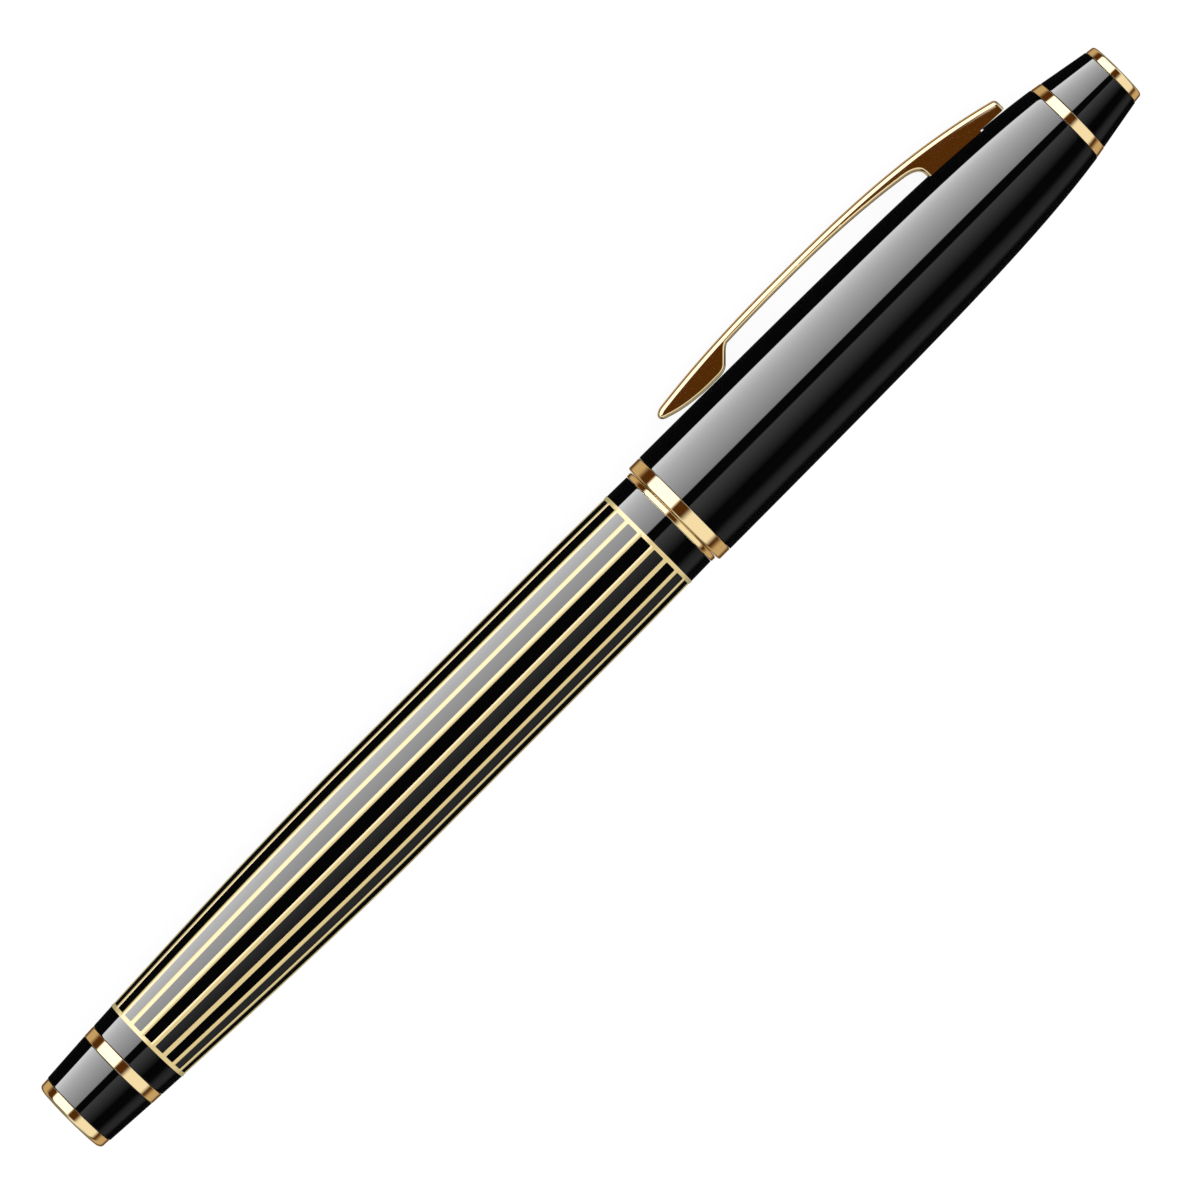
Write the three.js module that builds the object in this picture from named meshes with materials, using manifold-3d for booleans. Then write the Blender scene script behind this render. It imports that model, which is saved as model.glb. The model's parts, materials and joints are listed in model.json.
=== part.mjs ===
// Rollerball pen, capped. Millimetres.
//
// The pen is drawn in its own frame: +Y runs along the pen from the tail end (0) to the crown end,
// +Z points to the clip, and +X is across the clip. At the end of the file it is laid down on the
// floor, crown towards -X and tail towards +X, resting on the cap and on the clip.
//
// A place along the pen is called a station, and is measured from the tail end.

import * as THREE from "three";
import { mergeVertices } from "three/addons/utils/BufferGeometryUtils.js";
import Module from "manifold-3d";

// ------------------------------------------------------------------ driving dimensions

// Outside, along the pen: the length of each visible piece, tail to crown.
const TAIL_END_LENGTH = 1.2;
const TAIL_CONE_LENGTH = 5.3;
const TAIL_RING_LENGTH = 1.25;
const BARREL_LENGTH = 72.3;
const COLLAR_LENGTH = 0.6;
const BAND_LENGTH = 1.5;
const CAP_SHELL_LENGTH = 50.7;
const CROWN_RING_LENGTH = 1.1;
const CROWN_LENGTH = 5.1;
const CROWN_END_LENGTH = 0.95;

// Refill.
const REFILL_LENGTH = 98;
const REFILL_R = 2.95;
const REFILL_WALL = 0.3;
const REFILL_STEM_R = 1.6;
const REFILL_NOSE_LENGTH = 12;
const TIP_LENGTH = 3.4;
const TIP_STANDOUT = 2.7;
const TIP_R = 1.15;
const BALL_R = 0.35;

// Clearances.
const SEAT_GAP = 0.03;
const FIT_GAP = 0.05;
const SLIDE_GAP = 0.1;
const REFILL_ROOM = 0.15;
const CUT_GAP = 0.3;
const TIP_GAP = 0.6;

// Walls and steps across the pen, from the refill outwards.
const CUP_WALL = 0.68;
const SPIGOT_WALL = 0.65;
const GRIP_WALL = 0.65;
const GRIP_WAIST_WALL = 0.7;
const THREAD_WALL = 1.18;
const FLANGE_STEP = 0.22;
const SNAP_RISE = 0.05;
const INNER_CAP_WALL = 0.5;
const CAP_MOUTH_WALL = 0.95;
const CAP_WALL = 0.72;
const BUSH_WALL = 0.45;
const BARREL_WALL = 0.8;
const COLLAR_STEP = 0.05;
const BARREL_SWELL = 0.13;
const SHOULDER_STEP = 0.5;
const NOSE_SPIGOT_WALL = 0.75;
const NOSE_WALL = 0.65;
const NOSE_TIP_WALL = 0.15;
const STEM_R = 1.5;

// The writing section holds the refill, and the inner cap slides over its snap ring.
const BUSH_BORE_R = REFILL_R + REFILL_ROOM;
const BUSH_SPIGOT_R = BUSH_BORE_R + SPIGOT_WALL;
const GRIP_REAR_R = BUSH_SPIGOT_R + GRIP_WALL;
const GRIP_WAIST_R = BUSH_BORE_R + GRIP_WAIST_WALL;
const THREAD_R = BUSH_BORE_R + THREAD_WALL;
const BUSH_FLANGE_R = THREAD_R + FLANGE_STEP;
const SNAP_RING_R = BUSH_FLANGE_R + SNAP_RISE;
const SHOULDER_R = REFILL_R - SHOULDER_STEP;
const NOSE_SPIGOT_R = SHOULDER_R + SLIDE_GAP + NOSE_SPIGOT_WALL;
const NOSE_R = NOSE_SPIGOT_R + NOSE_WALL;
const NOSE_MOUTH_R = REFILL_STEM_R + SLIDE_GAP;
const NOSE_TIP_R = NOSE_MOUTH_R + NOSE_TIP_WALL;

// The cap closes over the inner cap.
const INNER_CAP_R = SNAP_RING_R + FIT_GAP + INNER_CAP_WALL;
const CAP_BORE_R = INNER_CAP_R + FIT_GAP;
const CAP_MOUTH_R = CAP_BORE_R + CAP_MOUTH_WALL;
const CAP_TOP_R = 4.5;

// The barrel's mouth holds the threaded bush, and its tail holds the spring cup.
const FEMALE_R = THREAD_R + FIT_GAP;
const BUSH_OUTER_R = FEMALE_R + BUSH_WALL;
const BARREL_BORE_R = BUSH_OUTER_R + FIT_GAP;
const BARREL_MOUTH_R = BARREL_BORE_R + BARREL_WALL;
const BARREL_WAIST_R = BARREL_MOUTH_R + BARREL_SWELL;
const COLLAR_R = BARREL_MOUTH_R + COLLAR_STEP;
const CUP_BORE_R = REFILL_R + SLIDE_GAP;
const CUP_R = CUP_BORE_R + CUP_WALL;
const BARREL_TAIL_BORE_R = CUP_R + FIT_GAP;
const BARREL_TAIL_R = BARREL_TAIL_BORE_R + BARREL_WALL;

// The tail steps in from the barrel's tail, and the crown from the cap's top.
const TAIL_RING_R = BARREL_TAIL_R - 0.05;
const TAIL_CONE_R = TAIL_RING_R - 0.35;
const TAIL_END_R = TAIL_CONE_R - 0.06;
const TAIL_FACE_R = TAIL_END_R - 0.47;
const CROWN_RING_R = CAP_TOP_R - 0.03;
const CROWN_BASE_R = CROWN_RING_R - 0.22;
const CROWN_TOP_R = CROWN_BASE_R - 0.91;
const CROWN_END_R = CROWN_TOP_R - 0.04;
const CROWN_FACE_R = CROWN_END_R - 0.35;
const CAP_TAPER_LENGTH = 13;
const THREAD_LENGTH = 11;

// Writing section, along the pen.
const BUSH_FLANGE_LENGTH = 1.4;
const SNAP_RING_LENGTH = 1.3;
const GRIP_LENGTH = 23.8;
const NOSE_LENGTH = 6.2;

// Springs.
const REFILL_SPRING_R = 2.3;
const REFILL_SPRING_WIRE_R = 0.25;
const REFILL_SPRING_TURNS = 6;
const CLIP_SPRING_R = 0.6;
const CLIP_SPRING_WIRE_R = 0.14;
const CLIP_SPRING_TURNS = 4;

// Clip, seen from the side: stations from the cap's mouth and top, rises above the cap's outside.
const CLIP_WIDTH = 3.6;
const CLIP_BEVEL = 0.3;
const CLIP_THICKNESS = 0.88;
const CLIP_ROOT_THICKENING = 0.42;
const CLIP_TIP_FROM_MOUTH = 5.4;
const CLIP_FOOT_LENGTH = 9.6;
const CLIP_WEB_FROM_TOP = 12.6;
const CLIP_WEB_LENGTH = 7.1;
const CLIP_TAIL_FROM_TOP = 3.05;
const CLIP_BOW_RISE = 2.81;
const CLIP_NOSE_STANDOUT = 1.33;
const CLIP_NOSE_RISE = 0.52;
const CLIP_TAIL_RISE = 1.356;
const CLIP_NOSE_ROUND = 0.8;
const CLIP_TAIL_ROUND = 0.35;
const CLIP_ARCH = 1.7;
const CLIP_HEEL = 2.8;
const CLIP_TOE = 2.6;
const SADDLE_WIDENING = 1.2;
const PIN_R = 0.5;
const PIN_DEPTH = 1.2194;
const TONGUE_WIDTH = 2.2;
const TONGUE_INSET = 0.6;
const ROCK_DEGREES = 2.5;

// Facets round a turned piece, and round a small one.
const FACETS = 32;
const SMALL_FACETS = 12;

// ------------------------------------------------------------------ stations along the pen

const TAIL_CONE_AT = TAIL_END_LENGTH;
const TAIL_RING_AT = TAIL_CONE_AT + TAIL_CONE_LENGTH;
const BARREL_AT = TAIL_RING_AT + TAIL_RING_LENGTH;
const COLLAR_AT = BARREL_AT + BARREL_LENGTH;
const MOUTH_AT = COLLAR_AT + COLLAR_LENGTH;
const CAP_SHELL_AT = MOUTH_AT + BAND_LENGTH;
const CROWN_RING_AT = CAP_SHELL_AT + CAP_SHELL_LENGTH;
const CROWN_AT = CROWN_RING_AT + CROWN_RING_LENGTH;
const CROWN_END_AT = CROWN_AT + CROWN_LENGTH;
const PEN_LENGTH = CROWN_END_AT + CROWN_END_LENGTH;

// The writing section starts at the barrel's mouth and its tip stands out of the nose.
const SNAP_RING_AT = MOUTH_AT + BUSH_FLANGE_LENGTH;
const GRIP_AT = SNAP_RING_AT + SNAP_RING_LENGTH;
const NOSE_AT = GRIP_AT + GRIP_LENGTH;
const NOSE_END = NOSE_AT + NOSE_LENGTH;
const TIP_AT = NOSE_END + TIP_STANDOUT;

// ------------------------------------------------------------------ finishes

const LACQUER = { color: 0x0b0b0d, roughness: 0.08, metalness: 0 };
const GOLD = { color: 0xe3c27a, roughness: 0.15, metalness: 1 };
const BRASS = { color: 0xb9975b, roughness: 0.35, metalness: 1 };
const STEEL = { color: 0xb8bcc0, roughness: 0.3, metalness: 1 };
const BLACK_PLASTIC = { color: 0x17181a, roughness: 0.45, metalness: 0 };
const GREY_PLASTIC = { color: 0x8d9094, roughness: 0.5, metalness: 0 };
const INK_FIBRE = { color: 0x20264a, roughness: 0.9, metalness: 0 };
const NICKEL = { color: 0xc9c6bd, roughness: 0.25, metalness: 1 };
const CARBIDE = { color: 0x55585c, roughness: 0.2, metalness: 1 };

const pen = new THREE.Group();

function addPiece(name, geometry, finish) {
  const mesh = new THREE.Mesh(geometry, new THREE.MeshStandardMaterial(finish));
  mesh.name = name;
  pen.add(mesh);
}

// ------------------------------------------------------------------ shape helpers

// A turned solid: the profile is a closed ring of [radius, station] pairs round a section.
function turned(profile, facets = FACETS) {
  const points = profile.map(([radius, station]) => new THREE.Vector2(radius, station));
  const closed = points[0].x > 0 || points[points.length - 1].x > 0;
  if (closed) points.push(points[0].clone());
  return facingOut(new THREE.LatheGeometry(points, facets));
}

// The signed volume of a closed mesh, positive when its faces point out.
function signedVolume(geometry) {
  const position = geometry.getAttribute("position");
  const index = geometry.getIndex();
  const corners = [new THREE.Vector3(), new THREE.Vector3(), new THREE.Vector3()];
  let sum = 0;
  for (let i = 0; i < index.count; i += 3) {
    corners.forEach((corner, k) => corner.fromBufferAttribute(position, index.getX(i + k)));
    sum += corners[0].dot(corners[1].clone().cross(corners[2])) / 6;
  }
  return sum;
}

// A mesh with its shared corners merged, no collapsed triangles, and its faces pointing out.
function facingOut(geometry) {
  const bare = geometry.clone();
  bare.deleteAttribute("normal");
  bare.deleteAttribute("uv");
  const merged = mergeVertices(bare, 1e-5);
  const inside = signedVolume(merged) < 0;
  const corners = merged.getIndex().array;
  const kept = [];
  for (let i = 0; i < corners.length; i += 3) {
    const [a, b, c] = [corners[i], corners[i + 1], corners[i + 2]];
    const collapsed = a === b || b === c || c === a;
    if (!collapsed) kept.push(a, inside ? c : b, inside ? b : c);
  }
  merged.setIndex(kept);
  merged.computeVertexNormals();
  return merged;
}

const wasm = await Module();
wasm.setup();

function toSolid(geometry) {
  const vertProperties = new Float32Array(geometry.getAttribute("position").array);
  const triVerts = new Uint32Array(geometry.getIndex().array);
  return new wasm.Manifold(new wasm.Mesh({ numProp: 3, vertProperties, triVerts }));
}

function toGeometry(solid) {
  const mesh = solid.getMesh();
  const geometry = new THREE.BufferGeometry();
  geometry.setAttribute("position", new THREE.BufferAttribute(mesh.vertProperties, 3));
  geometry.setIndex(new THREE.BufferAttribute(mesh.triVerts, 1));
  geometry.computeVertexNormals();
  return geometry;
}

function cutAway(geometry, ...cutters) {
  let solid = toSolid(geometry);
  for (const cutter of cutters) {
    solid = solid.subtract(toSolid(cutter));
  }
  return toGeometry(solid);
}

// A box between two corners.
function boxBetween([x0, y0, z0], [x1, y1, z1]) {
  const box = new THREE.BoxGeometry(x1 - x0, y1 - y0, z1 - z0);
  box.translate((x0 + x1) / 2, (y0 + y1) / 2, (z0 + z1) / 2);
  return facingOut(box);
}

// A round bar across the pen, along X, at a station and a height.
function crossBar(radius, halfLength, station, height, facets = SMALL_FACETS) {
  const bar = new THREE.CylinderGeometry(radius, radius, 2 * halfLength, facets);
  bar.rotateZ(Math.PI / 2);
  bar.translate(0, station, height);
  return facingOut(bar);
}

// A closed coil spring: a wire of round section swept along a helix about its own Y axis, with the
// ends at 0 and length. One closed tube with a fan over each end of the wire.
class Helix extends THREE.Curve {
  constructor(radius, length, turns) {
    super();
    this.radius = radius;
    this.length = length;
    this.turns = turns;
  }

  getPoint(t, target = new THREE.Vector3()) {
    const angle = 2 * Math.PI * this.turns * t;
    return target.set(this.radius * Math.cos(angle), this.length * t, this.radius * Math.sin(angle));
  }
}

function coil(radius, wireR, length, turns, stepsPerTurn = 10, sides = 6) {
  const section = new THREE.Shape();
  for (let i = 0; i < sides; i += 1) {
    const angle = (2 * Math.PI * i) / sides;
    const [x, y] = [wireR * Math.cos(angle), wireR * Math.sin(angle)];
    if (i === 0) section.moveTo(x, y);
    else section.lineTo(x, y);
  }
  section.closePath();
  const path = new Helix(radius, length - 2 * wireR, turns);
  const steps = Math.round(turns * stepsPerTurn);
  const wire = new THREE.ExtrudeGeometry(section, { steps, extrudePath: path, bevelEnabled: false });
  wire.translate(0, wireR, 0);
  return facingOut(wire);
}

// ------------------------------------------------------------------ outside profiles

// The barrel swells from its tail to a waist a little past the middle, then draws in to its mouth.
const BARREL_WAIST_AT = BARREL_AT + 0.46 * BARREL_LENGTH;
const BARREL_SHOULDER_AT = BARREL_AT + 0.82 * BARREL_LENGTH;
const BARREL_CURVE = 1.55;

function barrelRadius(station) {
  if (station <= BARREL_WAIST_AT) {
    const t = (BARREL_WAIST_AT - station) / (BARREL_WAIST_AT - BARREL_AT);
    return BARREL_WAIST_R - (BARREL_WAIST_R - BARREL_TAIL_R) * t ** BARREL_CURVE;
  }
  if (station <= BARREL_SHOULDER_AT) return BARREL_WAIST_R;
  const t = (station - BARREL_SHOULDER_AT) / (COLLAR_AT - BARREL_SHOULDER_AT);
  return BARREL_WAIST_R - (BARREL_WAIST_R - BARREL_MOUTH_R) * t;
}

// The cap is nearly straight from its mouth and falls away to its top on a rising power.
const CAP_SLOPE = 0.36;
const CAP_CURVE = 5.6;

function capRadius(station) {
  const t = (station - CAP_SHELL_AT) / CAP_SHELL_LENGTH;
  const fall = CAP_MOUTH_R - CAP_TOP_R - CAP_SLOPE;
  return CAP_MOUTH_R - CAP_SLOPE * t ** 1.4 - fall * t ** CAP_CURVE;
}

// The cap's bore is straight to the inner cap's end and then tapers to keep the wall under the
// falling outside. The clip's carrier follows it.
const INNER_CAP_END = TIP_AT + TIP_GAP + INNER_CAP_WALL;
const CARRIER_AT = INNER_CAP_END + SEAT_GAP;
const CAP_TAPER_AT = Math.max(CARRIER_AT, CROWN_RING_AT - CAP_TAPER_LENGTH);
const CAP_TOP_BORE_R = CAP_TOP_R - CAP_WALL;

function capBore(station) {
  const fromTop = (CROWN_RING_AT - station) / (CROWN_RING_AT - CAP_TAPER_AT);
  return CAP_TOP_BORE_R + (CAP_BORE_R - CAP_TOP_BORE_R) * Math.min(1, fromTop);
}

const carrierSide = (station) => capBore(station) - FIT_GAP;

// Points [radius, station] of a profile, evenly spaced between two stations.
function trace(radiusAt, from, to, count) {
  const points = [];
  for (let i = 0; i <= count; i += 1) {
    const station = from + ((to - from) * i) / count;
    points.push([radiusAt(station), station]);
  }
  return points;
}

// ------------------------------------------------------------------ tail

const EDGE = 0.25;

addPiece("tail_end_disc", turned([
  [0, 0],
  [TAIL_FACE_R, 0],
  [TAIL_END_R - 0.08, EDGE],
  [TAIL_END_R, TAIL_END_LENGTH - SEAT_GAP],
  [0, TAIL_END_LENGTH - SEAT_GAP],
]), GOLD);

addPiece("tail_cone", turned([
  [STEM_R + FIT_GAP, TAIL_CONE_AT],
  [TAIL_CONE_R, TAIL_CONE_AT],
  [TAIL_RING_R - 0.02, TAIL_RING_AT - SEAT_GAP],
  [STEM_R + FIT_GAP, TAIL_RING_AT - SEAT_GAP],
]), LACQUER);

addPiece("tail_ring", turned([
  [STEM_R + FIT_GAP, TAIL_RING_AT],
  [TAIL_RING_R, TAIL_RING_AT],
  [BARREL_TAIL_R, BARREL_AT - SEAT_GAP],
  [STEM_R + FIT_GAP, BARREL_AT - SEAT_GAP],
]), GOLD);

// The stud that holds the tail together: its flange sits inside the barrel's end.
const BARREL_END_WALL = 1.1;
const STUD_FLANGE_LENGTH = 1.4;
const STUD_FLANGE_R = BARREL_TAIL_BORE_R - FIT_GAP;
const STUD_FLANGE_AT = BARREL_AT + BARREL_END_WALL + SEAT_GAP;
const STUD_TOP = STUD_FLANGE_AT + STUD_FLANGE_LENGTH;

addPiece("tail_stud", turned([
  [0, TAIL_CONE_AT + SEAT_GAP],
  [STEM_R, TAIL_CONE_AT + SEAT_GAP],
  [STEM_R, STUD_FLANGE_AT],
  [STUD_FLANGE_R, STUD_FLANGE_AT],
  [STUD_FLANGE_R, STUD_TOP],
  [0, STUD_TOP],
]), BRASS);

// ------------------------------------------------------------------ barrel

const BUSH_DEPTH = THREAD_LENGTH + 1;

addPiece("barrel_tube", turned([
  ...trace(barrelRadius, BARREL_AT, BARREL_WAIST_AT, 6),
  ...trace(barrelRadius, BARREL_SHOULDER_AT, COLLAR_AT - SEAT_GAP, 2),
  [BARREL_BORE_R, COLLAR_AT - SEAT_GAP],
  [BARREL_BORE_R, BARREL_WAIST_AT],
  [BARREL_TAIL_BORE_R, BARREL_AT + BARREL_END_WALL],
  [STEM_R + FIT_GAP, BARREL_AT + BARREL_END_WALL],
  [STEM_R + FIT_GAP, BARREL_AT],
]), LACQUER);

// The threaded bush in the barrel's mouth; its flange is the narrow gold collar.
addPiece("barrel_bush", turned([
  [FEMALE_R, COLLAR_AT - BUSH_DEPTH],
  [BUSH_OUTER_R, COLLAR_AT - BUSH_DEPTH],
  [BUSH_OUTER_R, COLLAR_AT],
  [COLLAR_R, COLLAR_AT],
  [COLLAR_R, MOUTH_AT - SEAT_GAP],
  [FEMALE_R, MOUTH_AT - SEAT_GAP],
]), GOLD);

// The cup that holds the spring and steers the back of the refill.
const REFILL_AT = TIP_AT - REFILL_LENGTH;
const CUP_FLOOR = 0.5;
const CUP_AT = STUD_TOP + SEAT_GAP;
const CUP_TOP = REFILL_AT + 4;

addPiece("spring_cup", turned([
  [0, CUP_AT],
  [CUP_R, CUP_AT],
  [CUP_R, CUP_TOP],
  [CUP_BORE_R, CUP_TOP],
  [CUP_BORE_R, CUP_AT + CUP_FLOOR],
  [0, CUP_AT + CUP_FLOOR],
]), BLACK_PLASTIC);

const REFILL_SPRING_AT = CUP_AT + CUP_FLOOR + SEAT_GAP;
const REFILL_SPRING_LENGTH = REFILL_AT - SEAT_GAP - REFILL_SPRING_AT;
const refillSpring = coil(
  REFILL_SPRING_R, REFILL_SPRING_WIRE_R, REFILL_SPRING_LENGTH, REFILL_SPRING_TURNS,
);
refillSpring.translate(0, REFILL_SPRING_AT, 0);
addPiece("refill_spring", refillSpring, STEEL);

// ------------------------------------------------------------------ writing section

const BUSH_SPIGOT_LENGTH = 9;
const NOSE_SPIGOT_LENGTH = 5;

addPiece("section_bush", turned([
  [BUSH_BORE_R, MOUTH_AT - THREAD_LENGTH],
  [THREAD_R, MOUTH_AT - THREAD_LENGTH],
  [THREAD_R, MOUTH_AT],
  [BUSH_FLANGE_R, MOUTH_AT],
  [BUSH_FLANGE_R, SNAP_RING_AT - SEAT_GAP],
  [BUSH_SPIGOT_R, SNAP_RING_AT - SEAT_GAP],
  [BUSH_SPIGOT_R, GRIP_AT + BUSH_SPIGOT_LENGTH],
  [BUSH_BORE_R, GRIP_AT + BUSH_SPIGOT_LENGTH],
]), GOLD);

addPiece("cap_snap_ring", turned([
  [BUSH_SPIGOT_R + FIT_GAP, SNAP_RING_AT],
  [BUSH_FLANGE_R, SNAP_RING_AT],
  [SNAP_RING_R, SNAP_RING_AT + SNAP_RING_LENGTH / 2],
  [BUSH_FLANGE_R, GRIP_AT - SEAT_GAP],
  [BUSH_SPIGOT_R + FIT_GAP, GRIP_AT - SEAT_GAP],
]), STEEL);

addPiece("grip_section", turned([
  [BUSH_SPIGOT_R + FIT_GAP, GRIP_AT],
  [GRIP_REAR_R, GRIP_AT],
  [GRIP_REAR_R - 0.05, GRIP_AT + 0.25 * GRIP_LENGTH],
  [GRIP_WAIST_R + 0.25, GRIP_AT + 0.6 * GRIP_LENGTH],
  [GRIP_WAIST_R, GRIP_AT + 0.82 * GRIP_LENGTH],
  [NOSE_R, NOSE_AT - SEAT_GAP],
  [NOSE_SPIGOT_R + FIT_GAP, NOSE_AT - SEAT_GAP],
  [NOSE_SPIGOT_R + FIT_GAP, NOSE_AT - NOSE_SPIGOT_LENGTH - SEAT_GAP],
  [BUSH_BORE_R, NOSE_AT - NOSE_SPIGOT_LENGTH - SEAT_GAP],
  [BUSH_BORE_R, GRIP_AT + BUSH_SPIGOT_LENGTH + SEAT_GAP],
  [BUSH_SPIGOT_R + FIT_GAP, GRIP_AT + BUSH_SPIGOT_LENGTH + SEAT_GAP],
]), LACQUER);

// Inside the nose the refill's shoulder rests on a step.
const REFILL_NOSE_END = TIP_AT - TIP_LENGTH;
const REFILL_NOSE_AT = REFILL_NOSE_END - REFILL_NOSE_LENGTH;
const SHOULDER_AT = NOSE_AT + 1;

addPiece("section_nose", turned([
  [SHOULDER_R + SLIDE_GAP, NOSE_AT - NOSE_SPIGOT_LENGTH],
  [NOSE_SPIGOT_R, NOSE_AT - NOSE_SPIGOT_LENGTH],
  [NOSE_SPIGOT_R, NOSE_AT],
  [NOSE_R, NOSE_AT],
  [NOSE_R - 0.35, NOSE_AT + 0.35 * NOSE_LENGTH],
  [NOSE_TIP_R + 0.1, NOSE_END - EDGE],
  [NOSE_TIP_R, NOSE_END],
  [NOSE_MOUTH_R, NOSE_END],
  [NOSE_MOUTH_R, SHOULDER_AT + SEAT_GAP],
  [SHOULDER_R + SLIDE_GAP, SHOULDER_AT + SEAT_GAP],
]), GOLD);

// ------------------------------------------------------------------ refill

const PLUG_LENGTH = 3;
const RESERVOIR_GAP = 1.5;
const WICK_R = 0.6;
const FEED_SOCKET = 2;

addPiece("refill_tube", turned([
  [REFILL_R - REFILL_WALL, REFILL_AT],
  [REFILL_R, REFILL_AT],
  [REFILL_R, REFILL_NOSE_AT - SEAT_GAP],
  [REFILL_R - REFILL_WALL, REFILL_NOSE_AT - SEAT_GAP],
]), STEEL);

addPiece("refill_end_plug", turned([
  [0, REFILL_AT],
  [REFILL_R - REFILL_WALL - FIT_GAP, REFILL_AT],
  [REFILL_R - REFILL_WALL - FIT_GAP, REFILL_AT + PLUG_LENGTH],
  [0, REFILL_AT + PLUG_LENGTH],
]), GREY_PLASTIC);

addPiece("ink_reservoir", turned([
  [0, REFILL_AT + PLUG_LENGTH + RESERVOIR_GAP],
  [REFILL_R - REFILL_WALL - FIT_GAP, REFILL_AT + PLUG_LENGTH + RESERVOIR_GAP],
  [REFILL_R - REFILL_WALL - FIT_GAP, REFILL_NOSE_AT - FEED_SOCKET - RESERVOIR_GAP],
  [0, REFILL_NOSE_AT - FEED_SOCKET - RESERVOIR_GAP],
]), INK_FIBRE);

addPiece("refill_nose", turned([
  [WICK_R + FIT_GAP, REFILL_NOSE_AT - FEED_SOCKET],
  [REFILL_R - REFILL_WALL - FIT_GAP, REFILL_NOSE_AT - FEED_SOCKET],
  [REFILL_R - REFILL_WALL - FIT_GAP, REFILL_NOSE_AT],
  [SHOULDER_R, REFILL_NOSE_AT + 2],
  [SHOULDER_R, SHOULDER_AT],
  [REFILL_STEM_R, SHOULDER_AT],
  [REFILL_STEM_R, REFILL_NOSE_END],
  [TIP_R - 0.2 + FIT_GAP, REFILL_NOSE_END],
  [TIP_R - 0.2 + FIT_GAP, REFILL_NOSE_END - FEED_SOCKET],
  [WICK_R + FIT_GAP, REFILL_NOSE_END - FEED_SOCKET],
]), BLACK_PLASTIC);

// The socketed tip: a cone whose open end is a cup for the ball.
const BALL_AT = TIP_AT - BALL_R;
const SOCKET_R = BALL_R + FIT_GAP;

addPiece("writing_tip", turned([
  [0, REFILL_NOSE_END - FEED_SOCKET + SEAT_GAP],
  [TIP_R - 0.2, REFILL_NOSE_END - FEED_SOCKET + SEAT_GAP],
  [TIP_R - 0.2, REFILL_NOSE_END + SEAT_GAP],
  [TIP_R, REFILL_NOSE_END + SEAT_GAP],
  [TIP_R, REFILL_NOSE_END + 0.4 * TIP_LENGTH],
  [SOCKET_R + 0.12, BALL_AT - 0.3],
  [SOCKET_R + 0.06, BALL_AT + 0.02],
  [SOCKET_R, BALL_AT + 0.02],
  [SOCKET_R, BALL_AT - BALL_R - 0.1],
  [0, BALL_AT - BALL_R - 0.1],
], SMALL_FACETS * 2), NICKEL);

const ball = new THREE.SphereGeometry(BALL_R, SMALL_FACETS, SMALL_FACETS / 2);
ball.translate(0, BALL_AT, 0);
addPiece("writing_ball", facingOut(ball), CARBIDE);

const wickEnd = REFILL_NOSE_END - FEED_SOCKET;
addPiece("feed_wick", turned([
  [0, REFILL_NOSE_AT - FEED_SOCKET - RESERVOIR_GAP + SEAT_GAP],
  [WICK_R, REFILL_NOSE_AT - FEED_SOCKET - RESERVOIR_GAP + SEAT_GAP],
  [WICK_R, wickEnd - SEAT_GAP],
  [0, wickEnd - SEAT_GAP],
], SMALL_FACETS * 2), INK_FIBRE);

// ------------------------------------------------------------------ clip

// Stations of the clip, all tied to the cap.
const CLIP_TIP_AT = MOUTH_AT + CLIP_TIP_FROM_MOUTH;
const CLIP_FOOT_AT = CLIP_TIP_AT + 0.65 * CLIP_FOOT_LENGTH;
const CLIP_NOTCH_AT = CLIP_TIP_AT + CLIP_FOOT_LENGTH;
const CLIP_WEB_AT = CROWN_RING_AT - CLIP_WEB_FROM_TOP;
const CLIP_WEB_END = CLIP_WEB_AT + CLIP_WEB_LENGTH;
const CLIP_TAIL_AT = CROWN_RING_AT - CLIP_TAIL_FROM_TOP;
const CLIP_BOW_AT = (CLIP_TIP_AT + CLIP_WEB_AT) / 2;
const PIN_AT = CLIP_WEB_AT + CLIP_WEB_LENGTH / 2;
const PIN_HEIGHT = carrierSide(PIN_AT) - PIN_DEPTH;
const FOOT_HEIGHT = capRadius(CLIP_FOOT_AT) + SEAT_GAP;
const CLIP_BOW_HEIGHT = CAP_MOUTH_R + CLIP_BOW_RISE;
const CLIP_NOSE_HEIGHT = CAP_MOUTH_R + CLIP_NOSE_STANDOUT;
const CLIP_TAIL_HEIGHT = capRadius(CLIP_TAIL_AT) + CLIP_TAIL_RISE;
const TONGUE_EYE_R = PIN_R + 0.75;
const TONGUE_SHELF = PIN_HEIGHT + 0.5;

// Top edge of the clip at a station: a long bow, highest halfway from its tip to its web.
function clipTop(station) {
  if (station < CLIP_BOW_AT) {
    const t = (CLIP_BOW_AT - station) / (CLIP_BOW_AT - CLIP_TIP_AT);
    return CLIP_BOW_HEIGHT - (CLIP_BOW_HEIGHT - CLIP_NOSE_HEIGHT - CLIP_NOSE_RISE) * t ** 2.3;
  }
  const t = (station - CLIP_BOW_AT) / (CLIP_TAIL_AT - CLIP_BOW_AT);
  return CLIP_BOW_HEIGHT - (CLIP_BOW_HEIGHT - CLIP_TAIL_HEIGHT) * t ** 2.7;
}

// Under edge of the bow: it thickens on the square of the way from the bow to the web.
function clipUnder(station) {
  const t = Math.max(0, (station - CLIP_BOW_AT) / (CLIP_WEB_AT - CLIP_BOW_AT));
  return clipTop(station) - CLIP_THICKNESS - CLIP_ROOT_THICKENING * t ** 2;
}

// Adds points of an edge of the outline, evenly spaced between two stations.
function follow(shape, heightAt, from, to, steps) {
  for (let i = 1; i <= steps; i += 1) {
    const station = from + ((to - from) * i) / steps;
    shape.lineTo(station, heightAt(station));
  }
}

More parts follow.
